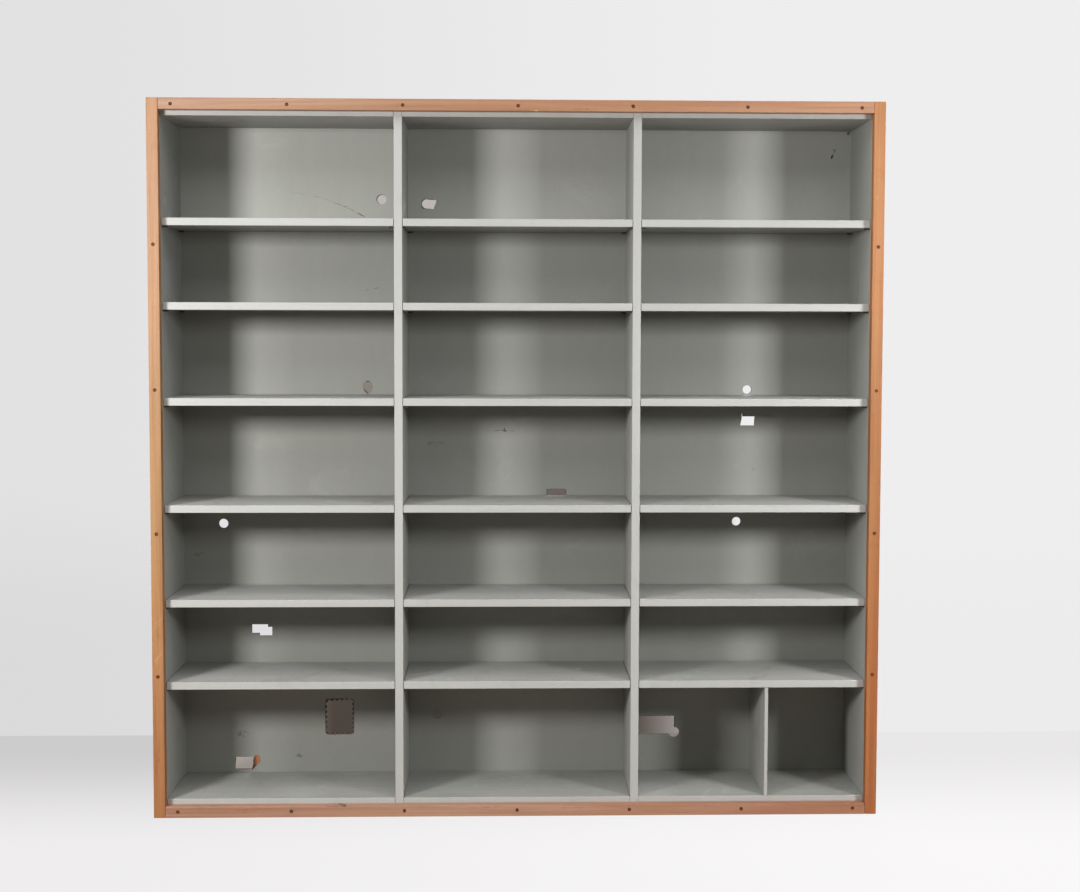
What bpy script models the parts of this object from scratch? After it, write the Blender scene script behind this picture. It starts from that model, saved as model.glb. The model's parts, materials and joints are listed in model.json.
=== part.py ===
"""A wide bookcase in three bays: a painted case with loose shelves on pegs, a front frame of solid wood
held by countersunk screws, and thin back sheets with holes for cables. Metres, +Z up, the front faces -Y,
and the origin lies at floor level under the middle of the case."""

import math

import bmesh
import bpy
from mathutils import Matrix

# Bays and rows
BAY_COUNT = 3
BAY_WIDTH = 0.700
TOP_ROW = 0.3055
BOTTOM_ROW = 0.339
PEG_PITCH = 0.0363
SHORT_STEPS = 7
MIDDLE_STEPS = 8
TALL_STEPS = 9

# Boards of the case
CASE_DEPTH = 0.267
SIDE_THICKNESS = 0.025
DIVIDER_THICKNESS = 0.025
PANEL_THICKNESS = 0.025
SHELF_THICKNESS = 0.023
PARTITION_THICKNESS = 0.0105
PARTITION_FROM_SIDE = 0.2985
BOARD_ROUNDING = 0.0012

# Back sheets, let into a rebate in each side
BACK_THICKNESS = 0.0055
BACK_RECESS = 0.001
BACK_FROM_FLOOR = 0.008
BACK_FROM_TOP = 0.008
REBATE_WIDTH = 0.012
SHEET_JOINT = 0.001

# Front frame
STILE_WIDTH = 0.035
RAIL_HEIGHT = 0.035
FRAME_DEPTH = 0.027
FRAME_ROUNDING = 0.0018

# Battens above the top panel and below the bottom panel
TOP_RISE = 0.024
BASE_RISE = 0.026
BATTEN_DEPTH = 0.045

# Pegs under the ends of the shelves
PEG_DIAMETER = 0.005
PEG_REACH = 0.0165
PEG_HOLD = 0.012
PEG_FROM_FRONT = 0.012
PEG_FROM_BACK = 0.033
PEG_SIDES = 12

# Slotted wood screws
SCREW_LENGTH = 0.045
SCREW_HEAD_DIAMETER = 0.0095
SCREW_HEAD_RIM = 0.0006
SCREW_HEAD_HEIGHT = 0.0032
SCREW_SHANK_DIAMETER = 0.0045
SCREW_POINT_LENGTH = 0.007
SCREW_POINT_DIAMETER = 0.0012
SCREW_RECESS = 0.0009
SCREW_SIDES = 12
SLOT_WIDTH = 0.0014
SLOT_DEPTH = 0.0014
SLOT_TURN = 37.0
RAIL_SCREW_COUNT = 7
RAIL_SCREW_FROM_END = 0.073
RAIL_SCREW_FROM_EDGE = 0.019
STILE_SCREW_COUNT = 4

# Clearances
SEAT_GAP = 0.0003
DIVIDER_SLOT_GAP = 0.0006
SHELF_END_GAP = 0.0015
SHELF_BACK_GAP = 0.002
SCREW_CLEARANCE = 0.0003
CUTTER_PAST = 0.004

# Shapes of the holes in the back sheets
CABLE_HOLE = 0.030
SMALL_CABLE_HOLE = 0.0285
BLIND_HOLE_DEPTH = 0.0032
SAWN_HOLE_WIDTH = 0.0434
SAWN_HOLE_HEIGHT = 0.0295
SAWN_HOLE_SLANT = 0.0036
SAWN_HOLE_TAPER = 0.004
SAW_KERF = 0.002
SAW_OVERRUN = 0.009
LOW_HOLE_WIDTH = 0.0542
LOW_HOLE_HEIGHT = 0.0402
LOW_HOLE_SLANT = 0.003
LOW_HOLE_BULGE = 0.008
DOUBLE_HOLE_WIDTH = 0.0517
DOUBLE_HOLE_HEIGHT = 0.0288
DOUBLE_HOLE_SECOND_WIDTH = 0.041
DOUBLE_HOLE_SHIFT = 0.0192
DOUBLE_HOLE_DROP = 0.0084
SOCKET_HOLE_WIDTH = 0.0815
SOCKET_HOLE_HEIGHT = 0.1055
SOCKET_HOLE_RISE = 0.006
DRILL_DIAMETER = 0.010
DRILL_PITCH = 0.0155
WIDENED_HOLE_REACH = 0.0231
WIDENED_HOLE_HEIGHT = 0.0292
WIDENED_HOLE_SLANT = 0.009
WIDENED_HOLE_DROP = 0.002
LONG_HOLE_WIDTH = 0.1303
LONG_HOLE_HEIGHT = 0.0595
LONG_HOLE_END_DIAMETER = 0.034
LONG_HOLE_END_INSET_X = 0.0004
LONG_HOLE_END_INSET_Z = 0.0056
NOTCH_WIDTH = 0.059
NOTCH_HEIGHT = 0.0192
NOTCH_CORNER = 0.004
BREAK_WIDTH = 0.0286
BREAK_HEIGHT = 0.0385
BREAK_TAPER = 0.55
BREAK_LEAN = 0.005
BREAK_FLATNESS = 0.6
BREAK_DIP = 0.003
BREAK_DIP_POWER = 8
ROUND_STEPS = 28
SCALLOP_STEPS = 5
CORNER_STEPS = 5

# Places of the holes: the wall and the board that each is measured from, to its middle
TOP_HOLE_FROM_DIVIDER = 0.0587
TOP_HOLE_ABOVE_SHELF = 0.0807
BREAK_FROM_DIVIDER = 0.107
BREAK_ABOVE_SHELF = 0.024
LEFT_HOLE_FROM_SIDE = 0.1275
LEFT_HOLE_BELOW_SHELF = 0.0682
DOUBLE_HOLE_FROM_SIDE = 0.2418
DOUBLE_HOLE_BELOW_SHELF = 0.1219
SOCKET_HOLE_FROM_DIVIDER = 0.2017
SOCKET_HOLE_BELOW_SHELF = 0.1573
LOW_HOLE_FROM_SIDE = 0.1864
LOW_HOLE_ABOVE_PANEL = 0.0298
WIDENED_HOLE_FROM_DIVIDER = 0.0593
WIDENED_HOLE_ABOVE_SHELF = 0.0675
NOTCH_FROM_DIVIDER = 0.221
NOTCH_ABOVE_SHELF = 0.0106
BLIND_HOLE_FROM_DIVIDER = 0.0913
BLIND_HOLE_ABOVE_PANEL = 0.1887
RIGHT_HOLE_FROM_DIVIDER = 0.3714
RIGHT_HOLE_ABOVE_SHELF = 0.0176
SAWN_HOLE_FROM_DIVIDER = 0.3752
SAWN_HOLE_BELOW_SHELF = 0.0616
LOWER_HOLE_FROM_DIVIDER = 0.3406
LOWER_HOLE_BELOW_SHELF = 0.0629
LONG_HOLE_FROM_DIVIDER = 0.0772
LONG_HOLE_BELOW_SHELF = 0.1897

# Sizes that follow from those above
SHORT_ROW = SHORT_STEPS * PEG_PITCH - SHELF_THICKNESS
MIDDLE_ROW = MIDDLE_STEPS * PEG_PITCH - SHELF_THICKNESS
TALL_ROW = TALL_STEPS * PEG_PITCH - SHELF_THICKNESS
ROWS = (TOP_ROW, SHORT_ROW, MIDDLE_ROW, TALL_ROW, MIDDLE_ROW, SHORT_ROW, BOTTOM_ROW)
SHELF_COUNT = len(ROWS) - 1
INSIDE_HALF = (BAY_COUNT * BAY_WIDTH + (BAY_COUNT - 1) * DIVIDER_THICKNESS) / 2
INSIDE_HEIGHT = sum(ROWS) + SHELF_COUNT * SHELF_THICKNESS
BOTTOM_PANEL_TOP = BASE_RISE + PANEL_THICKNESS
TOP_PANEL_UNDERSIDE = BOTTOM_PANEL_TOP + INSIDE_HEIGHT
HEIGHT = TOP_PANEL_UNDERSIDE + PANEL_THICKNESS + TOP_RISE
DEPTH = FRAME_DEPTH + SEAT_GAP + CASE_DEPTH + SEAT_GAP + BACK_THICKNESS + BACK_RECESS
FRAME_HALF = INSIDE_HALF + STILE_WIDTH
FRAME_FRONT = -DEPTH / 2
FRAME_REAR = FRAME_FRONT + FRAME_DEPTH
CASE_FRONT = FRAME_REAR + SEAT_GAP
CASE_REAR = CASE_FRONT + CASE_DEPTH
CASE_MIDDLE = CASE_FRONT + CASE_DEPTH / 2
BACK_FRONT = CASE_REAR + SEAT_GAP
BACK_REAR = BACK_FRONT + BACK_THICKNESS
THROUGH_BACK = BACK_THICKNESS + CUTTER_PAST
SIDE_REAR = BACK_REAR + BACK_RECESS
HEAD_Y = FRAME_FRONT + SCREW_RECESS

# Colours, linear
GREY_PAINT = (0.50, 0.505, 0.46)
BACK_PAINT = (0.46, 0.465, 0.42)
FRAME_WOOD = (0.55, 0.29, 0.15)
BATTEN_WOOD = (0.52, 0.36, 0.21)
SCREW_BRASS = (0.33, 0.22, 0.11)


def clear_scene():
    for old in list(bpy.data.objects):
        bpy.data.objects.remove(old, do_unlink=True)


def finish(name, colour, roughness, metallic=0.0):
    """A plain surface finish."""
    material = bpy.data.materials.new(name)
    material.use_nodes = True
    shader = material.node_tree.nodes["Principled BSDF"]
    shader.inputs["Base Color"].default_value = (*colour, 1.0)
    shader.inputs["Roughness"].default_value = roughness
    shader.inputs["Metallic"].default_value = metallic
    return material


def bay_left(bay):
    """X of the left wall of a bay. Bays count from 0, left to right."""
    return -INSIDE_HALF + bay * (BAY_WIDTH + DIVIDER_THICKNESS)


def bay_right(bay):
    return bay_left(bay) + BAY_WIDTH


def row_floor(row):
    """Z of the board that a row stands on. Rows count from 0, top to bottom."""
    return TOP_PANEL_UNDERSIDE - sum(ROWS[: row + 1]) - row * SHELF_THICKNESS


def row_ceiling(row):
    return row_floor(row) + ROWS[row]


def mesh_of(shape, name):
    """The mesh of a finished bmesh, which it frees."""
    bmesh.ops.recalc_face_normals(shape, faces=shape.faces)
    mesh = bpy.data.meshes.new(name)
    shape.to_mesh(mesh)
    shape.free()
    return mesh


def joined(shapes, name):
    """One mesh of several separate solids."""
    together = bmesh.new()
    for shape in shapes:
        piece = mesh_of(shape, name)
        together.from_mesh(piece)
        bpy.data.meshes.remove(piece)
    return mesh_of(together, name)


def block(low, high):
    """A box between two corners."""
    shape = bmesh.new()
    bmesh.ops.create_cube(shape, size=1.0)
    size = [b - a for a, b in zip(low, high)]
    middle = [(a + b) / 2 for a, b in zip(low, high)]
    bmesh.ops.scale(shape, vec=size, verts=shape.verts)
    bmesh.ops.translate(shape, vec=middle, verts=shape.verts)
    return shape


def prism(outline, start, travel):
    """An outline of 3-D points, moved to start and extruded along travel."""
    shape = bmesh.new()
    face = shape.faces.new([shape.verts.new(point) for point in outline])
    bmesh.ops.translate(shape, vec=start, verts=shape.verts)
    grown = bmesh.ops.extrude_face_region(shape, geom=[face])
    moved = [item for item in grown["geom"] if isinstance(item, bmesh.types.BMVert)]
    bmesh.ops.translate(shape, vec=travel, verts=moved)
    return shape


def turned(profile, steps, place):
    """A solid turned about its local Z from (radius, height) points that start and end on the axis."""
    shape = bmesh.new()
    points = [shape.verts.new((radius, 0.0, height)) for radius, height in profile]
    edges = [shape.edges.new(pair) for pair in zip(points, points[1:])]
    bmesh.ops.spin(
        shape,
        geom=points + edges,
        cent=(0, 0, 0),
        axis=(0, 0, 1),
        angle=math.tau,
        steps=steps,
        use_merge=True,
    )
    bmesh.ops.remove_doubles(shape, verts=shape.verts, dist=1e-6)
    bmesh.ops.transform(shape, matrix=place, verts=shape.verts)
    return shape


def add_object(name, mesh, location=(0, 0, 0)):
    piece = bpy.data.objects.new(name, mesh)
    bpy.context.scene.collection.objects.link(piece)
    piece.parent = bpy.data.objects["bookcase"]
    piece.location = location
    return piece


def add_piece(name, shape, surface, rounding=0.0):
    """A named piece whose origin is the middle of its shape."""
    corners = [vert.co for vert in shape.verts]
    middle = [(min(c[i] for c in corners) + max(c[i] for c in corners)) / 2 for i in range(3)]
    bmesh.ops.translate(shape, vec=[-value for value in middle], verts=shape.verts)
    piece = add_object(name, mesh_of(shape, name), middle)
    piece.data.materials.append(surface)
    if rounding:
        bevel = piece.modifiers.new("rounded edges", "BEVEL")
        bevel.width = rounding
        bevel.segments = 2
        bevel.limit_method = "ANGLE"
    return piece


def add_tool(name, shapes):
    """A cutter, or pegs to join to a board: never a piece by itself."""
    mesh = joined(shapes, name)
    mesh.shade_smooth()
    tool = add_object(name, mesh)
    tool.hide_render = True
    tool.display_type = "WIRE"
    return tool


def combine(piece, tool, operation):
    change = piece.modifiers.new(tool.name, "BOOLEAN")
    change.operation = operation
    change.solver = "EXACT"
    change.object = tool


def facing_front(x, z):
    """Placement of a turned shape whose local Z points out of the front, level with the screw heads."""
    return Matrix.Translation((x, HEAD_Y, z)) @ Matrix.Rotation(math.radians(90), 4, "X")


def rail_screw_places(z):
    reach = FRAME_HALF - RAIL_SCREW_FROM_END
    step = 2 * reach / (RAIL_SCREW_COUNT - 1)
    return [(-reach + i * step, z) for i in range(RAIL_SCREW_COUNT)]


def stile_screw_places(x):
    step = HEIGHT / (STILE_SCREW_COUNT + 1)
    return [(x, (i + 1) * step) for i in range(STILE_SCREW_COUNT)]


def screw_profile(clearance, front, tip):
    """Radius and height of a countersunk screw from its front face to its point, grown by a clearance."""
    head = SCREW_HEAD_DIAMETER / 2 + clearance
    shank = SCREW_SHANK_DIAMETER / 2 + clearance
    point = SCREW_POINT_DIAMETER / 2 + clearance
    return [
        (0.0, front),
        (head, front),
        (head, -SCREW_HEAD_RIM - clearance),
        (shank, -SCREW_HEAD_HEIGHT - clearance),
        (shank, -SCREW_LENGTH + SCREW_POINT_LENGTH),
        (point, tip),
        (0.0, tip),
    ]


def screw_hole(x, z):
    """The space that a screw takes up, open at the front of the frame."""
    profile = screw_profile(SCREW_CLEARANCE, SCREW_RECESS + CUTTER_PAST, -SCREW_LENGTH - SCREW_CLEARANCE)
    return turned(profile, SCREW_SIDES, facing_front(x, z))


def make_screw_mesh(surface):
    """A slotted screw with its head's face at the origin and its length along -Z."""
    solid = turned(screw_profile(0.0, 0.0, -SCREW_LENGTH), SCREW_SIDES, Matrix.Identity(4))
    blank = add_object("screw_blank", mesh_of(solid, "screw_blank"))
    half = SCREW_HEAD_DIAMETER / 2 + CUTTER_PAST
    groove = block((-half, -SLOT_WIDTH / 2, -SLOT_DEPTH), (half, SLOT_WIDTH / 2, CUTTER_PAST))
    slot = add_tool("screw_slot", [groove])
    combine(blank, slot, "DIFFERENCE")
    bpy.context.view_layer.update()
    mesh = bpy.data.meshes.new_from_object(blank.evaluated_get(bpy.context.evaluated_depsgraph_get()))
    mesh.name = "slotted_screw"
    mesh.materials.clear()
    mesh.materials.append(surface)
    mesh.shade_smooth()
    mesh.set_sharp_from_angle(angle=math.radians(30))
    bpy.data.objects.remove(blank, do_unlink=True)
    bpy.data.objects.remove(slot, do_unlink=True)
    return mesh


def make_screws(name, mesh, places):
    for i, (x, z) in enumerate(places):
        screw = add_object(f"{name}_{i + 1}", mesh)
        turn = Matrix.Rotation(math.radians(SLOT_TURN * i), 4, "Z")
        screw.matrix_local = facing_front(x, z) @ turn


def make_frame(wood, brass):
    """Two stiles over the full height, two rails between them, and the screws that hold them to the case."""
    stile_x = FRAME_HALF - STILE_WIDTH / 2
    groups = {
        "screw_left": stile_screw_places(-stile_x),
        "screw_right": stile_screw_places(stile_x),
        "screw_top": rail_screw_places(HEIGHT - RAIL_SCREW_FROM_EDGE),
        "screw_bottom": rail_screw_places(RAIL_SCREW_FROM_EDGE),
    }
    rail_half = INSIDE_HALF - SEAT_GAP
    members = {
        "frame_stile_left": (-FRAME_HALF, -INSIDE_HALF, 0.0, HEIGHT, "screw_left"),
        "frame_stile_right": (INSIDE_HALF, FRAME_HALF, 0.0, HEIGHT, "screw_right"),
        "frame_rail_top": (-rail_half, rail_half, HEIGHT - RAIL_HEIGHT, HEIGHT, "screw_top"),
        "frame_rail_bottom": (-rail_half, rail_half, 0.0, RAIL_HEIGHT, "screw_bottom"),
    }
    screw_mesh = make_screw_mesh(brass)
    tools = {}
    for name, places in groups.items():
        tools[name] = add_tool(f"{name}_holes", [screw_hole(x, z) for x, z in places])
        make_screws(name, screw_mesh, places)
    for name, (left, right, low, high, screws) in members.items():
        shape = block((left, FRAME_FRONT, low), (right, FRAME_REAR, high))
        combine(add_piece(name, shape, wood, FRAME_ROUNDING), tools[screws], "DIFFERENCE")
    return tools


def peg(left, right, y, shelf_row):
    """A round peg along X whose flat top seats the shelf that carries a row."""
    top = row_floor(shelf_row) - SHELF_THICKNESS - SEAT_GAP
    radius = PEG_DIAMETER / 2 / math.cos(math.pi / PEG_SIDES)
    angles = [math.tau * (i + 0.5) / PEG_SIDES for i in range(PEG_SIDES)]
    outline = [(0.0, radius * math.sin(angle), radius * math.cos(angle)) for angle in angles]
    return prism(outline, (left, y, top - PEG_DIAMETER / 2), (right - left, 0, 0))


def pegs(left, right):
    rows = range(SHELF_COUNT)
    depths = (CASE_FRONT + PEG_FROM_FRONT, CASE_REAR - PEG_FROM_BACK)
    return [peg(left, right, y, row) for row in rows for y in depths]


def make_side(name, sign, paint, holes):
    """A side with a rebate for the back at its inner rear edge, and pegs on its inner face."""
    inner = sign * INSIDE_HALF
    near, far = sorted((inner, inner + sign * SIDE_THICKNESS))
    side = add_piece(name, block((near, CASE_FRONT, 0.0), (far, SIDE_REAR, HEIGHT)), paint, BOARD_ROUNDING)
    near, far = sorted((inner - sign * CUTTER_PAST, inner + sign * REBATE_WIDTH))
    rebate = block((near, CASE_REAR, -CUTTER_PAST), (far, SIDE_REAR + CUTTER_PAST, HEIGHT + CUTTER_PAST))
    combine(side, add_tool(f"{name}_rebate", [rebate]), "DIFFERENCE")
    combine(side, holes, "DIFFERENCE")
    near, far = sorted((inner + sign * PEG_HOLD, inner - sign * PEG_REACH))
    combine(side, add_tool(f"{name}_pegs", pegs(near, far)), "UNION")


def make_panels(half, paint):
    """Bottom and top panels, slotted from the front to half their depth where the dividers pass."""
    outline = [(-half, CASE_FRONT, 0.0)]
    for bay in range(BAY_COUNT - 1):
        left = bay_right(bay) - DIVIDER_SLOT_GAP
        right = bay_left(bay + 1) + DIVIDER_SLOT_GAP
        outline += [(left, CASE_FRONT, 0.0), (left, CASE_MIDDLE, 0.0)]
        outline += [(right, CASE_MIDDLE, 0.0), (right, CASE_FRONT, 0.0)]
    outline += [(half, CASE_FRONT, 0.0), (half, CASE_REAR, 0.0), (-half, CASE_REAR, 0.0)]
    for name, low in (("bottom_panel", BASE_RISE), ("top_panel", TOP_PANEL_UNDERSIDE)):
        shape = prism(outline, (0, 0, low), (0, 0, PANEL_THICKNESS))
        add_piece(name, shape, paint, BOARD_ROUNDING)


def make_dividers(paint):
    """Dividers that pass through both panels at the front and stand between them at the rear."""
    ends = (BASE_RISE, TOP_PANEL_UNDERSIDE + PANEL_THICKNESS)
    shoulders = (BOTTOM_PANEL_TOP + SEAT_GAP, TOP_PANEL_UNDERSIDE - SEAT_GAP)
    halved = CASE_MIDDLE - SEAT_GAP
    low = [(0.0, CASE_FRONT, ends[0]), (0.0, halved, ends[0]), (0.0, halved, shoulders[0])]
    rear = [(0.0, CASE_REAR, shoulders[0]), (0.0, CASE_REAR, shoulders[1])]
    high = [(0.0, halved, shoulders[1]), (0.0, halved, ends[1]), (0.0, CASE_FRONT, ends[1])]
    for bay in range(BAY_COUNT - 1):
        left = bay_right(bay)
        right = bay_left(bay + 1)
        name = f"divider_{bay + 1}"
        shape = prism(low + rear + high, (left, 0, 0), (DIVIDER_THICKNESS, 0, 0))
        divider = add_piece(name, shape, paint, BOARD_ROUNDING)
        combine(divider, add_tool(f"{name}_pegs", pegs(left - PEG_REACH, right + PEG_REACH)), "UNION")


def make_case(paint, batten_wood, holes):
    """Sides, top and bottom panels, dividers with their pegs, battens and the low partition."""
    make_side("side_left", -1, paint, holes["screw_left"])
    make_side("side_right", 1, paint, holes["screw_right"])
    half = INSIDE_HALF - SEAT_GAP
    make_panels(half, paint)
    make_dividers(paint)
    make_battens(half, batten_wood, holes)
    right = bay_right(BAY_COUNT - 1) - PARTITION_FROM_SIDE
    low = BOTTOM_PANEL_TOP + SEAT_GAP
    ceiling = row_ceiling(len(ROWS) - 1)
    shape = block((right - PARTITION_THICKNESS, CASE_FRONT, low), (right, CASE_REAR, ceiling - SEAT_GAP))
    add_piece("partition", shape, paint, BOARD_ROUNDING)


def make_battens(half, batten_wood, holes):
    """Front and rear battens; the front ones take the screws of the rails."""
    heights = {
        "top": (HEIGHT - TOP_RISE + SEAT_GAP, HEIGHT),
        "bottom": (0.0, BASE_RISE - SEAT_GAP),
    }
    depths = {
        "front": (CASE_FRONT, CASE_FRONT + BATTEN_DEPTH),
        "rear": (CASE_REAR - BATTEN_DEPTH, CASE_REAR),
    }
    for level, (low, high) in heights.items():
        for where, (near, far) in depths.items():
            shape = block((-half, near, low), (half, far, high))
            batten = add_piece(f"batten_{level}_{where}", shape, batten_wood)
            if where == "front":
                combine(batten, holes[f"screw_{level}"], "DIFFERENCE")


def make_shelves(paint):
    """Loose shelves: each origin is the middle of its board, on the line that it slides out along."""
    for bay in range(BAY_COUNT):
        left = bay_left(bay) + SHELF_END_GAP
        right = bay_right(bay) - SHELF_END_GAP
        for row in range(SHELF_COUNT):
            top = row_floor(row)
            shape = block((left, CASE_FRONT, top - SHELF_THICKNESS), (right, CASE_REAR - SHELF_BACK_GAP, top))
            add_piece(f"shelf_bay{bay + 1}_row{row + 1}", shape, paint, BOARD_ROUNDING)


def drilled(x, z, diameter):
    """Outline of a round hole in the plane of the back."""
    radius = diameter / 2
    angles = [math.tau * i / ROUND_STEPS for i in range(ROUND_STEPS)]
    return [(x + radius * math.cos(angle), 0.0, z + radius * math.sin(angle)) for angle in angles]


def sawn(x, z, width, height, slant=0.0, taper=0.0):
    """A hand-sawn rectangle about its middle, whose top is shifted along X and narrower than its bottom."""
    low_half = (width + taper / 2) / 2
    high_half = (width - taper / 2) / 2
    half_z = height / 2
    lean = slant / 2
    return [
        (x - low_half - lean, 0.0, z - half_z),
        (x + low_half - lean, 0.0, z - half_z),
        (x + high_half + lean, 0.0, z + half_z),
        (x - high_half + lean, 0.0, z + half_z),
    ]


def sawn_with_bulge(x, z, width, height, slant, bulge):
    """A sawn rectangle whose right side bows outwards."""
    outline = sawn(x, z, width, height, slant)
    low = outline[1]
    bow = []
    for step in range(1, CORNER_STEPS):
        share = step / CORNER_STEPS
        across = slant * share + bulge * math.sin(math.pi * share)
        bow.append((low[0] + across, 0.0, low[2] + height * share))
    return outline[:2] + bow + outline[2:]


def notch(x, z, width, height, corner):
    """A slot with a square bottom and rounded top corners."""
    outline = [(x - width / 2, 0.0, z - height / 2), (x + width / 2, 0.0, z - height / 2)]
    for side, start in ((1, 0.0), (-1, math.pi / 2)):
        middle_x = x + side * (width / 2 - corner)
        middle_z = z + height / 2 - corner
        for step in range(CORNER_STEPS):
            angle = start + math.pi / 2 * step / (CORNER_STEPS - 1)
            outline.append((middle_x + corner * math.cos(angle), 0.0, middle_z + corner * math.sin(angle)))
    return outline


def chain_drilled(x, z, width, height, rise):
    """A rectangle broken out along lines of drilled holes, which leave a scallop at each one. Its top rises
    to the right."""
    outline = []
    radius = DRILL_DIAMETER / 2
    low_left, low_right, high_right, high_left = sawn(x, z, width, height)
    high_right = (high_right[0], 0.0, high_right[2] + rise / 2)
    high_left = (high_left[0], 0.0, high_left[2] - rise / 2)
    corners = [low_left, low_right, high_right, high_left]
    for start, end in zip(corners, corners[1:] + corners[:1]):
        along_x = end[0] - start[0]
        along_z = end[2] - start[2]
        facing = math.atan2(along_z, along_x)
        count = max(1, int(math.hypot(along_x, along_z) / DRILL_PITCH))
        for k in range(count):
            share = (k + 0.5) / count
            for step in range(SCALLOP_STEPS):
                angle = facing - math.pi + math.pi * step / (SCALLOP_STEPS - 1)
                point_x = start[0] + along_x * share + radius * math.cos(angle)
                point_z = start[2] + along_z * share + radius * math.sin(angle)
                outline.append((point_x, 0.0, point_z))
    return outline


def broken_out(x, z):
    """A leaf-shaped break: flat with a dip at the top, and a blunt point below that leans to the right."""
    outline = []
    for i in range(ROUND_STEPS):
        angle = math.tau * i / ROUND_STEPS
        low = max(0.0, -math.sin(angle))
        high = max(0.0, math.sin(angle))
        across = BREAK_WIDTH / 2 * math.cos(angle) * (1.0 - BREAK_TAPER * low**2) + BREAK_LEAN * low
        up = BREAK_HEIGHT / 2 * (high**BREAK_FLATNESS - low) - BREAK_DIP * high**BREAK_DIP_POWER
        outline.append((x + across, 0.0, z + up))
    return outline


def left_bay_holes():
    """Outlines behind the first bay, then one that overlaps one of them, each with its depth."""
    left = bay_left(0)
    right = bay_right(0)
    double_x = left + DOUBLE_HOLE_FROM_SIDE
    double_z = row_ceiling(5) - DOUBLE_HOLE_BELOW_SHELF
    socket_x = right - SOCKET_HOLE_FROM_DIVIDER
    socket_z = row_ceiling(6) - SOCKET_HOLE_BELOW_SHELF
    low_x = left + LOW_HOLE_FROM_SIDE
    low_z = row_floor(6) + LOW_HOLE_ABOVE_PANEL
    first = [
        drilled(right - TOP_HOLE_FROM_DIVIDER, row_floor(0) + TOP_HOLE_ABOVE_SHELF, CABLE_HOLE),
        broken_out(right - BREAK_FROM_DIVIDER, row_floor(2) + BREAK_ABOVE_SHELF),
        drilled(left + LEFT_HOLE_FROM_SIDE, row_ceiling(4) - LEFT_HOLE_BELOW_SHELF, CABLE_HOLE),
        sawn(double_x, double_z, DOUBLE_HOLE_WIDTH, DOUBLE_HOLE_HEIGHT),
        chain_drilled(socket_x, socket_z, SOCKET_HOLE_WIDTH, SOCKET_HOLE_HEIGHT, SOCKET_HOLE_RISE),
        sawn_with_bulge(low_x, low_z, LOW_HOLE_WIDTH, LOW_HOLE_HEIGHT, LOW_HOLE_SLANT, LOW_HOLE_BULGE),
    ]
    shifted_x = double_x + DOUBLE_HOLE_SHIFT
    shifted_z = double_z - DOUBLE_HOLE_DROP
    second = [sawn(shifted_x, shifted_z, DOUBLE_HOLE_SECOND_WIDTH, DOUBLE_HOLE_HEIGHT)]
    return [(first, THROUGH_BACK), (second, THROUGH_BACK)]


def middle_bay_holes():
    """Outlines behind the second bay: a drilled hole sawn wider, a slot above a shelf, and a hole that was
    started but not drilled through."""
    left = bay_left(1)
    round_x = left + WIDENED_HOLE_FROM_DIVIDER
    round_z = row_floor(0) + WIDENED_HOLE_ABOVE_SHELF
    slot_x = bay_right(1) - NOTCH_FROM_DIVIDER
    slot_z = row_floor(3) + NOTCH_ABOVE_SHELF
    first = [
        drilled(round_x, round_z, CABLE_HOLE),
        notch(slot_x, slot_z, NOTCH_WIDTH, NOTCH_HEIGHT, NOTCH_CORNER),
    ]
    half = WIDENED_HOLE_HEIGHT / 2
    end_x = round_x + WIDENED_HOLE_REACH
    end_z = round_z - WIDENED_HOLE_DROP
    widened = [
        (round_x, 0.0, round_z - half),
        (end_x, 0.0, end_z - half),
        (end_x + WIDENED_HOLE_SLANT, 0.0, end_z + half),
        (round_x, 0.0, round_z + half),
    ]
    blind = drilled(left + BLIND_HOLE_FROM_DIVIDER, row_floor(6) + BLIND_HOLE_ABOVE_PANEL, CABLE_HOLE)
    return [(first, THROUGH_BACK), ([widened], THROUGH_BACK), ([blind], BLIND_HOLE_DEPTH)]


def right_bay_holes():
    """Outlines behind the third bay, then a round cut at the corner of the long one and the saw's overrun at
    the corner of the sawn one."""
    left = bay_left(2)
    long_x = left + LONG_HOLE_FROM_DIVIDER
    long_z = row_ceiling(6) - LONG_HOLE_BELOW_SHELF
    end_x = long_x + LONG_HOLE_WIDTH / 2 - LONG_HOLE_END_INSET_X
    end_z = long_z - LONG_HOLE_HEIGHT / 2 + LONG_HOLE_END_INSET_Z
    sawn_x = left + SAWN_HOLE_FROM_DIVIDER
    sawn_z = row_ceiling(3) - SAWN_HOLE_BELOW_SHELF
    first = [
        drilled(left + RIGHT_HOLE_FROM_DIVIDER, row_floor(2) + RIGHT_HOLE_ABOVE_SHELF, SMALL_CABLE_HOLE),
        sawn(sawn_x, sawn_z, SAWN_HOLE_WIDTH, SAWN_HOLE_HEIGHT, SAWN_HOLE_SLANT, SAWN_HOLE_TAPER),
        drilled(left + LOWER_HOLE_FROM_DIVIDER, row_ceiling(4) - LOWER_HOLE_BELOW_SHELF, SMALL_CABLE_HOLE),
        sawn(long_x, long_z, LONG_HOLE_WIDTH, LONG_HOLE_HEIGHT),
    ]
    end = drilled(end_x, end_z, LONG_HOLE_END_DIAMETER)
    kerf_x = sawn_x - (SAWN_HOLE_WIDTH - SAWN_HOLE_SLANT - SAW_KERF) / 2
    kerf = sawn(kerf_x, sawn_z + SAWN_HOLE_HEIGHT / 2, SAW_KERF, 2 * SAW_OVERRUN)
    return [(first, THROUGH_BACK), ([end, kerf], THROUGH_BACK)]


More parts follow.
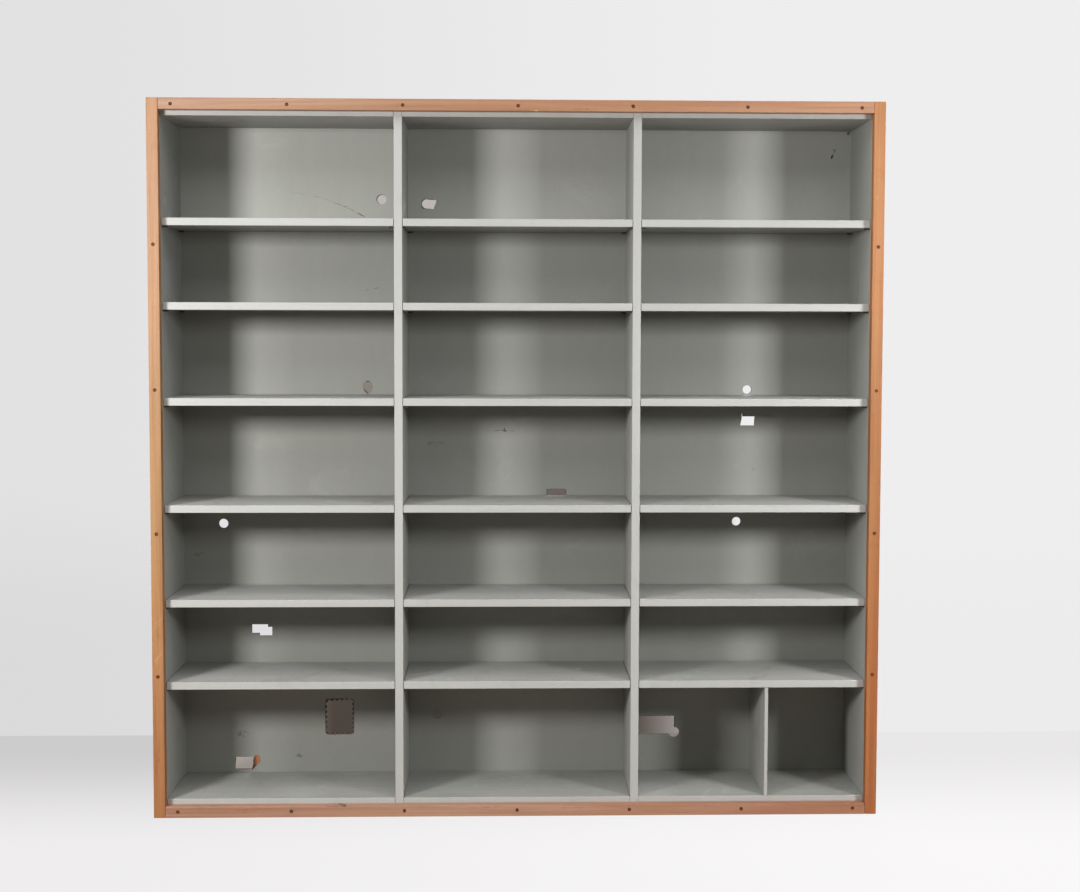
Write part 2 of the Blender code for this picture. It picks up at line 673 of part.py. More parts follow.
def make_back(paint):
    """One sheet behind each bay, the outer ones in the rebates, with the joints behind the dividers."""
    holes = (left_bay_holes(), middle_bay_holes(), right_bay_holes())
    start = (0, BACK_FRONT - CUTTER_PAST, 0)
    for bay in range(BAY_COUNT):
        left = bay_left(bay) - DIVIDER_THICKNESS / 2 + SHEET_JOINT / 2
        right = bay_right(bay) + DIVIDER_THICKNESS / 2 - SHEET_JOINT / 2
        if bay == 0:
            left = -INSIDE_HALF - REBATE_WIDTH + SEAT_GAP
        if bay == BAY_COUNT - 1:
            right = INSIDE_HALF + REBATE_WIDTH - SEAT_GAP
        low = (left, BACK_FRONT, BACK_FROM_FLOOR)
        high = (right, BACK_REAR, HEIGHT - BACK_FROM_TOP)
        name = f"back_sheet_{bay + 1}"
        sheet = add_piece(name, block(low, high), paint)
        for order, (outlines, depth) in enumerate(holes[bay]):
            shapes = [prism(outline, start, (0, CUTTER_PAST + depth, 0)) for outline in outlines]
            combine(sheet, add_tool(f"{name}_cuts_{order + 1}", shapes), "DIFFERENCE")


def main():
    clear_scene()
    bpy.context.scene.collection.objects.link(bpy.data.objects.new("bookcase", None))
    grey = finish("grey_paint", GREY_PAINT, 0.5)
    holes = make_frame(finish("frame_wood", FRAME_WOOD, 0.45), finish("screw_brass", SCREW_BRASS, 0.4, 1.0))
    make_case(grey, finish("batten_wood", BATTEN_WOOD, 0.7), holes)
    make_shelves(finish("shelf_paint", GREY_PAINT, 0.45))
    make_back(finish("back_paint", BACK_PAINT, 0.55))


main()
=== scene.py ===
import json
import math

import bpy
from bpy.props import FloatProperty, FloatVectorProperty, PointerProperty
from mathutils import Matrix, Vector


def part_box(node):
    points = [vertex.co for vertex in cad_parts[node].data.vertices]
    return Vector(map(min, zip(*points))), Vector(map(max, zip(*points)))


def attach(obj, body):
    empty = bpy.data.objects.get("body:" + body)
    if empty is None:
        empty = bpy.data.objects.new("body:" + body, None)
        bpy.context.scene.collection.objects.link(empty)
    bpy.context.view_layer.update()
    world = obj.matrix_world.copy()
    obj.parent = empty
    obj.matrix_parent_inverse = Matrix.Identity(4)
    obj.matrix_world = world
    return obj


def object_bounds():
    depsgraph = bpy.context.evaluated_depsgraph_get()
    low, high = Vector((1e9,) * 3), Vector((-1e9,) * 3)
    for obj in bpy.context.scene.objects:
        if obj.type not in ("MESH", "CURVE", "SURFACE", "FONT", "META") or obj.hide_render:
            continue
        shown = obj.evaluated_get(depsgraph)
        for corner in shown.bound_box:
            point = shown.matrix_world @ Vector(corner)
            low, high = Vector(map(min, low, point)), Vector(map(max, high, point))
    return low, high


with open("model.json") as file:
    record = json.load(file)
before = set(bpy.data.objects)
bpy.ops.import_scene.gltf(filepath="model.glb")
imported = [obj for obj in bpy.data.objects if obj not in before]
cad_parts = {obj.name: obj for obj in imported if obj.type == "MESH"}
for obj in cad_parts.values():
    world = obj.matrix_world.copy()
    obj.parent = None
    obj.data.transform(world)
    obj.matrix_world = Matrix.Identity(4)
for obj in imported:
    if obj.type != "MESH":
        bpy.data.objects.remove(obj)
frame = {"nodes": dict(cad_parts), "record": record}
CAD_LOW, CAD_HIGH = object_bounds()

bl_info = {
    "name": "Bookcase looks",
    "version": (1, 0, 0),
    "blender": (4, 5, 0),
    "location": "View3D > Sidebar > Bookcase",
    "description": "Finishes, small fittings and a studio stage for a wide painted bookcase",
    "category": "Object",
}


# Names and places taken from the frame

def nodes_named(prefix):
    """Names of the nodes that start alike, in order."""
    return tuple(sorted(name for name in frame["nodes"] if name.startswith(prefix)))


def hole_middle(name):
    """X and Z of the middle of a hole that the record states."""
    low, high = HOLES[name]
    return (low[0] + high[0]) / 2, (low[2] + high[2]) / 2


def screw_place(node):
    """A screw's middle and the radius of its head."""
    low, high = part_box(node)
    return (low + high) / 2, (high.x - low.x) / 2


CASE = "case"
SIDES = ("side_left", "side_right")
UPRIGHTS = ("divider_1", "divider_2", "partition")
SHEETS = ("back_sheet_1", "back_sheet_2", "back_sheet_3")
SHELVES = nodes_named("shelf_")
SCREWS = nodes_named("screw_")
BATTENS = nodes_named("batten_")
HOLES = {hole["name"]: hole["box_m"] for hole in frame["record"]["physics"]["openings"]}

SHELF_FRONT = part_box(SHELVES[0])[0].y
TOP_ROW = max(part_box(name)[1].z for name in SHELVES)
BREAK_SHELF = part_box("shelf_bay1_row3")[1].z
BACK_FRONT, BACK_REAR = (corner.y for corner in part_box(SHEETS[0]))
DIVIDER_X = -sum(corner.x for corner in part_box("divider_1")) / 2
SIDE_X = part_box("frame_rail_top")[1].x
TOP_PANEL_LOW, TOP_PANEL_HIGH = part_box("top_panel")
BOTTOM_PANEL_LOW, BOTTOM_PANEL_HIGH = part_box("bottom_panel")
BOARD = TOP_PANEL_HIGH.z - TOP_PANEL_LOW.z
LEFT_BAY_END = -DIVIDER_X - BOARD / 2
BOARD_MIDDLES = {
    "side_left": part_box("side_left")[0].x + BOARD / 2,
    "side_right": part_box("side_right")[1].x - BOARD / 2,
    "divider_1": -DIVIDER_X,
    "divider_2": DIVIDER_X,
}

# Tones of dirt, wear and bare material

SOIL = (0.205, 0.195, 0.165)
RUBBED_PAINT = (0.78, 0.78, 0.75)
DUST = (0.43, 0.42, 0.39)
SLIDE_MARK = (0.22, 0.215, 0.19)
CHIP = (0.10, 0.078, 0.058)
SMEAR = (0.085, 0.082, 0.078)
SCRATCH = (0.035, 0.033, 0.028)
RUST_SPOT = (0.060, 0.022, 0.012)
HOLE_RIM_SHADE = (0.050, 0.034, 0.023)
FILLED_HOLE = (0.290, 0.243, 0.206)
TORN_FIBRE = (0.42, 0.145, 0.062)
TORN_SHADE = (0.050, 0.026, 0.014)
PALE_NICK = (0.72, 0.47, 0.25)
RED_STREAK = (0.33, 0.085, 0.035)
DARK_DENT = (0.075, 0.030, 0.014)
SCREW_RING_SHADE = (0.070, 0.022, 0.010)
SCREW_RIM_SHADE = (0.056, 0.018, 0.008)
SCREW_SLOT = (0.032, 0.012, 0.006)
SOFTWOOD_DARK = (0.24, 0.125, 0.055)
PEG_DARK = (0.085, 0.080, 0.072)
PIN_STEEL = (0.42, 0.41, 0.39)
PIN_RUST = (0.16, 0.065, 0.03)

# How each member of the front frame was cut: the way its grain runs, its place in the log, its screws,
# its tones at its start, middle and end, which hold the wood's own colour and also painted light that makes
# the stiles lighter towards their tops, and its marks, each from X, Z to X, Z with a width, a strength
# and a tone

FRAME_CUTS = {
    "frame_stile_left": {
        "along": "Z",
        "shift": (0.31, 0.07, 0.0),
        "screws": "screw_left",
        "tones_with_light": ((0.68, 0.55, 0.38), (0.66, 0.70, 0.56), (0.77, 0.82, 0.80)),
        "marks": (
            (-1.075, 0.618, -1.100, 0.599, 0.0022, 0.55, PALE_NICK),
            (-1.079, 0.606, -1.098, 0.588, 0.0016, 0.45, PALE_NICK),
            (-1.076, 0.517, -1.101, 0.483, 0.0022, 0.55, PALE_NICK),
            (-1.082, 0.505, -1.096, 0.476, 0.0018, 0.45, PALE_NICK),
            (-1.089, 0.243, -1.094, 0.175, 0.0042, 0.60, RED_STREAK),
            (-1.099, 0.190, -1.101, 0.137, 0.0034, 0.65, RED_STREAK),
            (-1.079, 1.760, -1.088, 1.747, 0.0022, 0.80, DARK_DENT),
        ),
    },
    "frame_stile_right": {
        "along": "Z",
        "shift": (-0.22, 0.31, 1.7),
        "screws": "screw_right",
        "tones_with_light": ((0.68, 0.445, 0.26), (0.61, 0.50, 0.33), (0.85, 0.74, 0.54)),
        "marks": (
            (1.091, 1.110, 1.092, 1.040, 0.0030, 0.40, RED_STREAK),
            (1.099, 0.700, 1.098, 0.610, 0.0034, 0.40, RED_STREAK),
            (1.084, 1.905, 1.089, 1.890, 0.0020, 0.50, PALE_NICK),
        ),
    },
    "frame_rail_top": {
        "along": "X",
        "shift": (0.4, 0.55, -0.63),
        "screws": "screw_top",
        "tones_with_light": ((0.75, 0.88, 1.10), (0.77, 0.81, 0.89), (0.85, 0.90, 1.00)),
        "marks": (
            (0.040, 2.1505, 0.058, 2.1500, 0.0030, 0.75, PALE_NICK),
            (0.116, 2.1710, 0.126, 2.1735, 0.0024, 0.65, PALE_NICK),
            (0.120, 2.1565, 0.210, 2.1560, 0.0030, 0.60, RED_STREAK),
            (0.951, 2.1760, 0.9515, 2.1715, 0.0024, 0.75, DARK_DENT),
            (0.812, 2.1590, 0.813, 2.1530, 0.0018, 0.60, DARK_DENT),
            (-0.700, 2.1520, -0.560, 2.1525, 0.0018, 0.40, RED_STREAK),
        ),
    },
    "frame_rail_bottom": {
        "along": "X",
        "shift": (2.9, -0.4, 0.27),
        "screws": "screw_bottom",
        "tones_with_light": ((0.72, 0.75, 0.91), (0.80, 0.86, 1.06), (0.71, 0.66, 0.73)),
        "marks": (
            (-0.585, 0.0335, -0.525, 0.0340, 0.0030, 0.80, DARK_DENT),
            (-0.315, 0.0290, -0.352, 0.0170, 0.0016, 0.50, PALE_NICK),
            (-0.140, 0.0280, -0.050, 0.0300, 0.0034, 0.45, DARK_DENT),
            (-0.760, 0.0250, -0.860, 0.0240, 0.0030, 0.50, RED_STREAK),
            (0.430, 0.0090, 0.560, 0.0100, 0.0028, 0.50, RED_STREAK),
            (0.250, 0.0260, 0.140, 0.0250, 0.0026, 0.45, RED_STREAK),
        ),
    },
}


def rim(hole, half_x, half_z, power, reach, shift_x=0.0, shift_z=0.0):
    """A rim about the middle of a hole that the record states, or about a point."""
    x, z = hole_middle(hole) if isinstance(hole, str) else hole
    return x + shift_x, z + shift_z, half_x, half_z, power, reach


# What each back sheet shows: the dark rims of its holes, mostly painted shade of their walls, scratches laid
# out as the frame's marks are, and smears

SHEET_MARKS = (
    {
        "shaded_rims": (
            rim((LEFT_BAY_END - 0.0603, TOP_ROW + 0.0813), 0.0150, 0.0150, 2.0, 0.0014),
            rim((LEFT_BAY_END - 0.1058, BREAK_SHELF + 0.0243), 0.0140, 0.0190, 2.0, 0.0013),
            rim("cable_hole_bay1_row5", 0.0150, 0.0150, 2.0, 0.0015),
            rim("double_hole_bay1_row6", 0.0259, 0.0144, 8.0, 0.0015),
            rim("double_hole_bay1_row6", 0.0205, 0.0144, 8.0, 0.0015, shift_x=0.0192, shift_z=-0.0084),
            rim("socket_hole_bay1_row7", 0.0457, 0.0577, 12.0, 0.0030, shift_z=0.0015),
            rim("low_hole_bay1_row7", 0.0271, 0.0201, 8.0, 0.0012),
        ),
        "scratches": (
            (-0.730, 1.934, -0.625, 1.914, 0.0016, 0.45),
            (-0.625, 1.914, -0.550, 1.886, 0.0018, 0.60),
            (-0.550, 1.886, -0.490, 1.855, 0.0026, 0.85),
            (-0.4888, 1.6171, -0.4728, 1.6248, 0.0014, 0.80),
            (-0.4728, 1.6248, -0.4471, 1.6271, 0.0013, 0.70),
            (-0.8281, 0.1493, -0.8005, 0.1412, 0.0013, 0.55),
            (-0.7120, 0.1060, -0.7040, 0.1005, 0.0034, 0.95),
            (-0.4812, 1.2905, -0.4824, 1.2845, 0.0036, 0.95),
        ),
        "smears": (
            rim((-0.7081, 0.1031), 0.0050, 0.0020, 2.0, 0.0080),
            rim((-1.0263, 0.7668), 0.0060, 0.0030, 2.0, 0.0080),
            rim((-0.8895, 0.1760), 0.0080, 0.0040, 2.0, 0.0120),
        ),
    },
    {
        "shaded_rims": (
            rim("widened_hole_bay2_row1", 0.0205, 0.0150, 4.0, 0.0016, shift_x=-0.0014, shift_z=0.0005),
            rim("slot_bay2_row4", 0.0295, 0.0096, 8.0, 0.0014, shift_z=0.0006),
        ),
        "scratches": (
            (-0.0848, 1.1672, -0.0600, 1.1680, 0.0024, 0.50),
            (-0.0530, 1.1690, -0.0360, 1.1672, 0.0062, 0.95),
            (-0.0425, 1.1672, -0.0400, 1.1755, 0.0045, 0.85),
            (-0.0315, 1.1715, -0.0130, 1.1660, 0.0062, 0.95),
        ),
        "smears": (
            rim((-0.2623, 1.1257), 0.0060, 0.0020, 2.0, 0.0100),
        ),
    },
    {
        "shaded_rims": (
            rim("cable_hole_bay3_row3", 0.01425, 0.01425, 2.0, 0.0014),
            rim("sawn_hole_bay3_row4", 0.0217, 0.01475, 8.0, 0.0014),
            rim("cable_hole_bay3_row5", 0.01425, 0.01425, 2.0, 0.0014),
            rim("long_hole_bay3_row7", 0.0652, 0.0298, 12.0, 0.0014),
        ),
        "scratches": (
            (1.0225, 2.0740, 1.0125, 2.0475, 0.0085, 0.95),
            (1.0220, 2.0720, 1.0145, 2.0520, 0.0080, 0.90),
            (1.0668, 2.1345, 1.0662, 2.1240, 0.0105, 0.95, RUST_SPOT),
        ),
        "smears": (
            rim((0.7656, 1.0412), 0.0028, 0.0022, 2.0, 0.0050),
            rim((1.0673, 2.1288), 0.0040, 0.0040, 2.0, 0.0060),
        ),
    },
)


# Settings that a user would change

def colour_setting(name, description, default):
    return FloatVectorProperty(
        name=name, description=description, subtype="COLOR", size=3, min=0.0, max=1.0, default=default
    )


def length_setting(name, description, default):
    return FloatProperty(
        name=name, description=description, unit="LENGTH", min=0.0, default=default, precision=4
    )


def power_setting(name, description, default):
    return FloatProperty(name=name, description=description, unit="POWER", min=0.0, default=default)


class BookcaseFinish(bpy.types.PropertyGroup):
    """Colours of the wood, the paint and the bare board under it."""

    wood_light: colour_setting("Wood, light", "Pale wood between the growth lines", (0.62, 0.335, 0.185))
    wood_middle: colour_setting("Wood, middle", "Main colour of the frame", (0.50, 0.235, 0.115))
    wood_dark: colour_setting("Wood, dark", "Growth lines and pores of the frame", (0.27, 0.098, 0.040))
    paint: colour_setting("Case paint", "Grey paint of the sides, dividers and panels", (0.350, 0.354, 0.330))
    shelf_paint: colour_setting("Shelf paint", "Grey paint of the shelves", (0.384, 0.386, 0.372))
    # painted light: a paler copy of the grey paint for faces that look to the front, standing in for the
    # stronger light on them
    paler_paint: colour_setting("Edge paint", "Paler grey of the front edges", (0.470, 0.472, 0.455))
    back_paint: colour_setting("Back paint", "Grey paint of the back sheets", (0.285, 0.288, 0.264))
    fibre: colour_setting("Bare fibreboard", "Brown board where the paint stops", (0.170, 0.092, 0.054))
    softwood: colour_setting("Bare softwood", "Sawn battens that carry no paint", (0.50, 0.335, 0.185))
    brass: colour_setting("Screw metal", "Rubbed middle of the screws", (0.34, 0.135, 0.056))


class BookcaseFittings(bpy.types.PropertyGroup):
    """Sizes of the small fittings and the damage."""

    pin_diameter: length_setting("Pin head", "Diameter of a panel pin's head", 0.0046)
    pin_rise: length_setting("Pin rise", "How far a pin's head stands out of the back", 0.0006)
    pin_spacing: length_setting("Pin spacing", "Distance between panel pins", 0.148)
    pin_inset: length_setting("Pin inset", "Distance of the pins from a sheet's joint", 0.0065)
    tear_rise: length_setting("Tear rise", "How far torn fibre stands out of a sheet", 0.0009)


class BookcaseStage(bpy.types.PropertyGroup):
    """Lamps and backdrop."""

    key_power: power_setting("Key lamp", "Power of the left lamp", 52.0)
    fill_power: power_setting("Fill lamp", "Power of the right lamp", 24.0)
    top_power: power_setting("Top lamp", "Power of the lamp overhead", 105.0)
    rear_power: power_setting("Rear lamp", "Power of the lamp behind", 120.0)
    ambient: FloatProperty(name="Ambient", description="Even light from all round", default=0.004, min=0.0)
    backdrop: colour_setting("Backdrop", "Pale colour that the floor and the wall show", (0.84, 0.83, 0.84))
    surface: colour_setting("Surface", "Colour in which floor and wall take light", (0.34, 0.27, 0.20))
    wall_distance: length_setting("Wall", "How far the wall stands behind the case", 0.60)


# Node helpers

def put(tree, kind, inputs=None, **settings):
    """A node with its settings, whose inputs are values or other nodes' sockets."""
    node = tree.nodes.new(kind)
    for key, value in settings.items():
        setattr(node, key, value)
    for key, value in (inputs or {}).items():
        feed(node.inputs[key], value)
    return node


def feed(socket, value):
    if isinstance(value, bpy.types.NodeSocket):
        socket.id_data.links.new(value, socket)
    else:
        socket.default_value = value


def tree_of(*values):
    """The node tree of the first socket among some values."""
    return next(value.id_data for value in values if isinstance(value, bpy.types.NodeSocket))


def calc(operation, *values, clamp=False):
    node = put(tree_of(*values), "ShaderNodeMath", operation=operation, use_clamp=clamp)
    for socket, value in zip(node.inputs, values):
        feed(socket, value)
    return node.outputs[0]


def product(value, *others):
    for other in others:
        value = calc("MULTIPLY", value, other)
    return value


def summed(value, *others):
    for other in others:
        value = calc("ADD", value, other)
    return value


def vector_calc(operation, *values):
    node = put(tree_of(*values), "ShaderNodeVectorMath", operation=operation)
    for socket, value in zip(node.inputs, values):
        feed(socket, value)
    return node.outputs["Value"] if operation in ("DOT_PRODUCT", "LENGTH") else node.outputs["Vector"]


def flat_way(start, end):
    """The way from one point to another as it looks from the front."""
    return vector_calc("MULTIPLY", vector_calc("SUBTRACT", end, start), (1.0, 0.0, 1.0))


def noise(vector, scale, detail=2.0, roughness=0.5, distortion=0.0):
    inputs = {"Vector": vector, "Scale": scale, "Detail": detail, "Roughness": roughness}
    return put(vector.id_data, "ShaderNodeTexNoise", {**inputs, "Distortion": distortion}).outputs["Fac"]


def stretched(vector, scales, *shape):
    """Noise with a scale of its own along each axis."""
    return noise(vector_calc("MULTIPLY", vector, scales), 1.0, *shape)


def between(share, low, high):
    """A value that lies a share of the way from low to high."""
    values = {"Value": share, "To Min": low, "To Max": high}
    return put(share.id_data, "ShaderNodeMapRange", values).outputs["Result"]


def remap(value, low, high, to_low=0.0, to_high=1.0):
    """A value moved from one span to another, eased and kept inside it."""
    values = {"Value": value, "From Min": low, "From Max": high, "To Min": to_low, "To Max": to_high}
    return put(value.id_data, "ShaderNodeMapRange", values, interpolation_type="SMOOTHSTEP").outputs["Result"]


def mixed(factor, first, second, blend="MIX"):
    node = put(tree_of(factor, first, second), "ShaderNodeMix", data_type="RGBA", blend_type=blend)
    feed(node.inputs[0], factor)
    feed(node.inputs[6], first)
    feed(node.inputs[7], second)
    return node.outputs[2]


def stained(colour, tone, *masks):
    """A colour that goes over to a tone where its masks, multiplied together, say so."""
    return mixed(product(*masks), colour, rgba(tone))


def scaled(colour, factor):
    """A colour made lighter or darker by a factor."""
    parts = {"Red": factor, "Green": factor, "Blue": factor}
    grey = put(factor.id_data, "ShaderNodeCombineColor", parts).outputs[0]
    return mixed(1.0, colour, grey, "MULTIPLY")


def split(vector):
    return put(vector.id_data, "ShaderNodeSeparateXYZ", {"Vector": vector}).outputs


def joined(x, y, z):
    return put(x.id_data, "ShaderNodeCombineXYZ", {"X": x, "Y": y, "Z": z}).outputs[0]


def facing(place):
    """X, Y and Z of the way in which a face looks, in the tree of a place."""
    return split(put(place.id_data, "ShaderNodeNewGeometry").outputs["Normal"])


def rgba(colour):
    return (*colour, 1.0)


def shaders_mixed(factor, first, second):
    node = put(factor.id_data, "ShaderNodeMixShader")
    for socket, value in zip(node.inputs, (factor, first.outputs[0], second.outputs[0])):
        feed(socket, value)
    return node


def seen_rays(tree):
    """1 for what the camera sees, also as a reflection or through glass."""
    path = put(tree, "ShaderNodeLightPath").outputs
    seen = calc("ADD", path["Is Camera Ray"], path["Is Glossy Ray"])
    return calc("ADD", seen, path["Is Transmission Ray"], clamp=True)


def new_group(name, inputs, outputs):
    """The inner ends of a new shader group's sockets, which are given by name and kind."""
    tree = bpy.data.node_groups.new(name, "ShaderNodeTree")
    for way, sockets in (("INPUT", inputs), ("OUTPUT", outputs)):
        for label, kind in sockets.items():
            tree.interface.new_socket(label, in_out=way, socket_type=kind)
    return put(tree, "NodeGroupInput").outputs, put(tree, "NodeGroupOutput").inputs


def use(group, inputs):
    """A group's outputs in the tree of the place that it is given."""
    tree = inputs["Vector"].id_data
    return put(tree, "ShaderNodeGroup", inputs, node_tree=bpy.data.node_groups[group]).outputs


FLOAT, VECTOR, COLOUR = "NodeSocketFloat", "NodeSocketVector", "NodeSocketColor"


def make_wood_group():
    """Straight-grained wood: X runs across the board, Y through it and Z along the grain."""
    given, out = new_group(
        "wood_grain",
        {"Vector": VECTOR, "Light": COLOUR, "Middle": COLOUR, "Dark": COLOUR, "End": FLOAT},
        {"Colour": COLOUR, "Roughness": FLOAT, "Height": FLOAT},
    )
    place = given["Vector"]
    broad = stretched(place, (26.0, 26.0, 0.9), 4.0, 0.55, 0.6)
    streaks = stretched(place, (150.0, 150.0, 1.7), 4.0, 0.6, 0.3)
    fibres = stretched(place, (850.0, 850.0, 13.0), 3.0, 0.6)
    pores = stretched(place, (1500.0, 1500.0, 60.0), 1.0)
    flecks = stretched(place, (75.0, 75.0, 11.0), 3.0, 0.6)
    colour = mixed(remap(broad, 0.34, 0.66), given["Light"], given["Middle"])
    lines = summed(
        remap(streaks, 0.47, 0.76, 0.0, 0.34),
        remap(fibres, 0.45, 0.80, 0.0, 0.18),
        remap(pores, 0.66, 0.78, 0.0, 0.32),
    )
    dark = calc("ADD", lines, product(given["End"], 0.35), clamp=True)
    colour = mixed(dark, colour, given["Dark"])
    colour = mixed(remap(flecks, 0.66, 0.76, 0.0, 0.40), colour, given["Light"])
    feed(out["Colour"], colour)
    feed(out["Roughness"], remap(fibres, 0.3, 0.7, 0.38, 0.54))
    height = calc("SUBTRACT", product(fibres, 0.5), remap(pores, 0.62, 0.80, 0.0, 0.8))
    feed(out["Height"], summed(height, product(streaks, 0.25)))


def make_paint_group():
    """Old satin paint on board: clouded, faintly brushed along one way, stained and scuffed."""
    given, out = new_group(
        "old_paint",
        {"Vector": VECTOR, "Colour": COLOUR, "Brush": VECTOR, "Wear": FLOAT, "Seed": FLOAT},
        {"Colour": COLOUR, "Roughness": FLOAT, "Height": FLOAT},
    )
    seed, wear = given["Seed"], given["Wear"]
    shift = joined(seed, product(seed, 1.7), product(seed, 0.6))
    place = vector_calc("ADD", given["Vector"], shift)
    clouds = noise(place, 2.3, 5.0, 0.55)
    specks = noise(place, 75.0, 4.0, 0.6)
    roller = noise(place, 430.0, 2.0, 0.6)
    brush = stretched(place, given["Brush"], 4.0, 0.6)
    stains = noise(place, 6.5, 6.0, 0.65, 0.8)
    tone = summed(
        remap(clouds, 0.28, 0.72, -0.06, 0.06),
        remap(specks, 0.25, 0.75, -0.05, 0.05),
        remap(brush, 0.30, 0.70, -0.05, 0.05),
    )
    colour = scaled(given["Colour"], calc("MULTIPLY_ADD", tone, wear, 1.0))
    darkened = product(remap(stains, 0.54, 0.74), wear)
    rubbed = product(remap(stains, 0.40, 0.26), wear)
    colour = stained(colour, SOIL, darkened, 0.42)
    colour = stained(colour, RUBBED_PAINT, rubbed, 0.22)
    feed(out["Colour"], colour)
    rough = summed(remap(clouds, 0.3, 0.7, 0.44, 0.55), product(darkened, 0.18))
    feed(out["Roughness"], calc("SUBTRACT", rough, product(rubbed, 0.10)))
    feed(out["Height"], summed(product(roller, 0.55), product(brush, 0.45)))


def make_fibre_group():
    """Bare hardboard: matted brown fibres, with the woven mark of its press screen where asked."""
    given, out = new_group(
        "bare_fibre",
        {"Vector": VECTOR, "Colour": COLOUR, "Screen": FLOAT},
        {"Colour": COLOUR, "Height": FLOAT},
    )
    place = given["Vector"]
    mats = noise(place, 160.0, 5.0, 0.7)
    broad = noise(place, 3.0, 4.0)
    part = split(place)
    waves = [calc("SINE", product(part[axis], 2400.0)) for axis in ("X", "Z")]
    screen = product(*waves, given["Screen"])
    tone = product(remap(mats, 0.25, 0.75, 0.70, 1.30), remap(broad, 0.3, 0.7, 0.88, 1.12))
    tone = calc("MULTIPLY_ADD", screen, 0.10, tone)
    feed(out["Colour"], scaled(given["Colour"], tone))
    feed(out["Height"], summed(product(mats, 0.6), product(screen, 0.4)))


def make_rim_group():
    """Mask of a rim round a hole in the back: Power 2 is round, and a high power is square."""
    given, out = new_group(
        "rim_ring",
        {"Vector": VECTOR, "Centre": VECTOR, "Half": VECTOR, "Power": FLOAT, "Reach": FLOAT},
        {"Mask": FLOAT},
    )
    from_middle = vector_calc("SUBTRACT", given["Vector"], given["Centre"])
    part = split(vector_calc("ABSOLUTE", vector_calc("DIVIDE", from_middle, given["Half"])))
    power = given["Power"]
    powers = summed(calc("POWER", part["X"], power), calc("POWER", part["Z"], power))
    ring = calc("SUBTRACT", calc("POWER", powers, calc("DIVIDE", 1.0, power)), 1.0)
    outside = product(ring, split(given["Half"])["Z"])
    ragged = remap(noise(given["Vector"], 210.0, 4.0, 0.65), 0.25, 0.75, 0.05, 1.5)
    edge = product(given["Reach"], ragged)
    feed(out["Mask"], remap(outside, edge, product(edge, 0.4)))


def make_scratch_group():
    """Mask of a scratch between two points of a face that looks front, broken up along its length."""
    given, out = new_group(
        "scratch",
        {"Vector": VECTOR, "Start": VECTOR, "End": VECTOR, "Width": FLOAT},
        {"Mask": FLOAT, "Along": FLOAT},
    )
    place, start = given["Vector"], given["Start"]
    flat = flat_way(start, place)
    line = flat_way(start, given["End"])
    along = vector_calc("DOT_PRODUCT", flat, line)
    share = calc("DIVIDE", along, vector_calc("DOT_PRODUCT", line, line), clamp=True)
    nearest = put(share.id_data, "ShaderNodeVectorMath", {0: line, "Scale": share}, operation="SCALE")
    away = vector_calc("LENGTH", vector_calc("SUBTRACT", flat, nearest.outputs["Vector"]))
    wobble = remap(noise(place, 60.0, 3.0), 0.3, 0.7, 0.0, 1.2)
    width = product(given["Width"], wobble)
    feed(out["Mask"], remap(away, width, product(width, 0.3)))
    feed(out["Along"], share)


def make_dust_group():
    """Dust that has settled on faces that look up."""
    given, out = new_group(
        "settled_dust",
        {"Vector": VECTOR, "Colour": COLOUR, "Amount": FLOAT},
        {"Colour": COLOUR, "Mask": FLOAT},
    )
    upward = remap(facing(given["Vector"])["Z"], 0.6, 0.95)
    patches = remap(noise(given["Vector"], 5.0, 6.0, 0.7), 0.32, 0.68, 0.25, 1.0)
    mask = product(upward, patches, given["Amount"])
    feed(out["Colour"], stained(given["Colour"], DUST, mask))
    feed(out["Mask"], mask)


def make_groups():
    make_wood_group()
    make_paint_group()
    make_fibre_group()
    make_rim_group()
    make_scratch_group()
    make_dust_group()


# Materials

def new_material(name):
    """An empty material with its shader, and the Object coordinates that its patterns follow."""
    material = bpy.data.materials.new(name)
    material.use_nodes = True
    place = put(material.node_tree, "ShaderNodeTexCoord").outputs["Object"]
    return material, material.node_tree.nodes["Principled BSDF"], place


def bumped(shader, height, distance):
    bump = put(shader.id_data, "ShaderNodeBump", {"Height": height, "Distance": distance, "Strength": 1.0})
    feed(shader.inputs["Normal"], bump.outputs["Normal"])


def dress(shader, colour, roughness, height, depth, specular=0.5, metallic=0.0):
    """Feeds a material's shader, with bumps of a depth where its height says so."""
    names = ("Base Color", "Roughness", "Specular IOR Level", "Metallic")
    for name, value in zip(names, (colour, roughness, specular, metallic)):
        feed(shader.inputs[name], value)
    bumped(shader, height, depth)


def give(node, material):
    """Puts one material on a CAD node's object."""
    slots = frame["nodes"][node].material_slots
    for slot in slots:
        slot.link = "OBJECT"
        slot.material = material
    if not slots:
        raise RuntimeError(f"{node} has no material slot")


def rim_mask(place, spots):
    """Rims round several holes: (x, z, half width, half height, power, reach)."""
    total = None
    for x, z, half_x, half_z, power, reach in spots:
        mask = use("rim_ring", {
            "Vector": place,
            "Centre": (x, 0.0, z),
            "Half": (half_x, 1.0, half_z),
            "Power": power,
            "Reach": reach,
        })["Mask"]
        total = mask if total is None else calc("MAXIMUM", total, mask)
    return total


def scratched(place, colour, x, z, end_x, end_z, width, strength, tone=SCRATCH):
    """A colour with one scratch over it, stronger towards its end."""
    line = use("scratch", {"Vector": place, "Start": (x, 0.0, z), "End": (end_x, 0.0, end_z), "Width": width})
    return stained(colour, tone, line["Mask"], remap(line["Along"], 0.0, 0.95, 0.25, 1.0), strength)


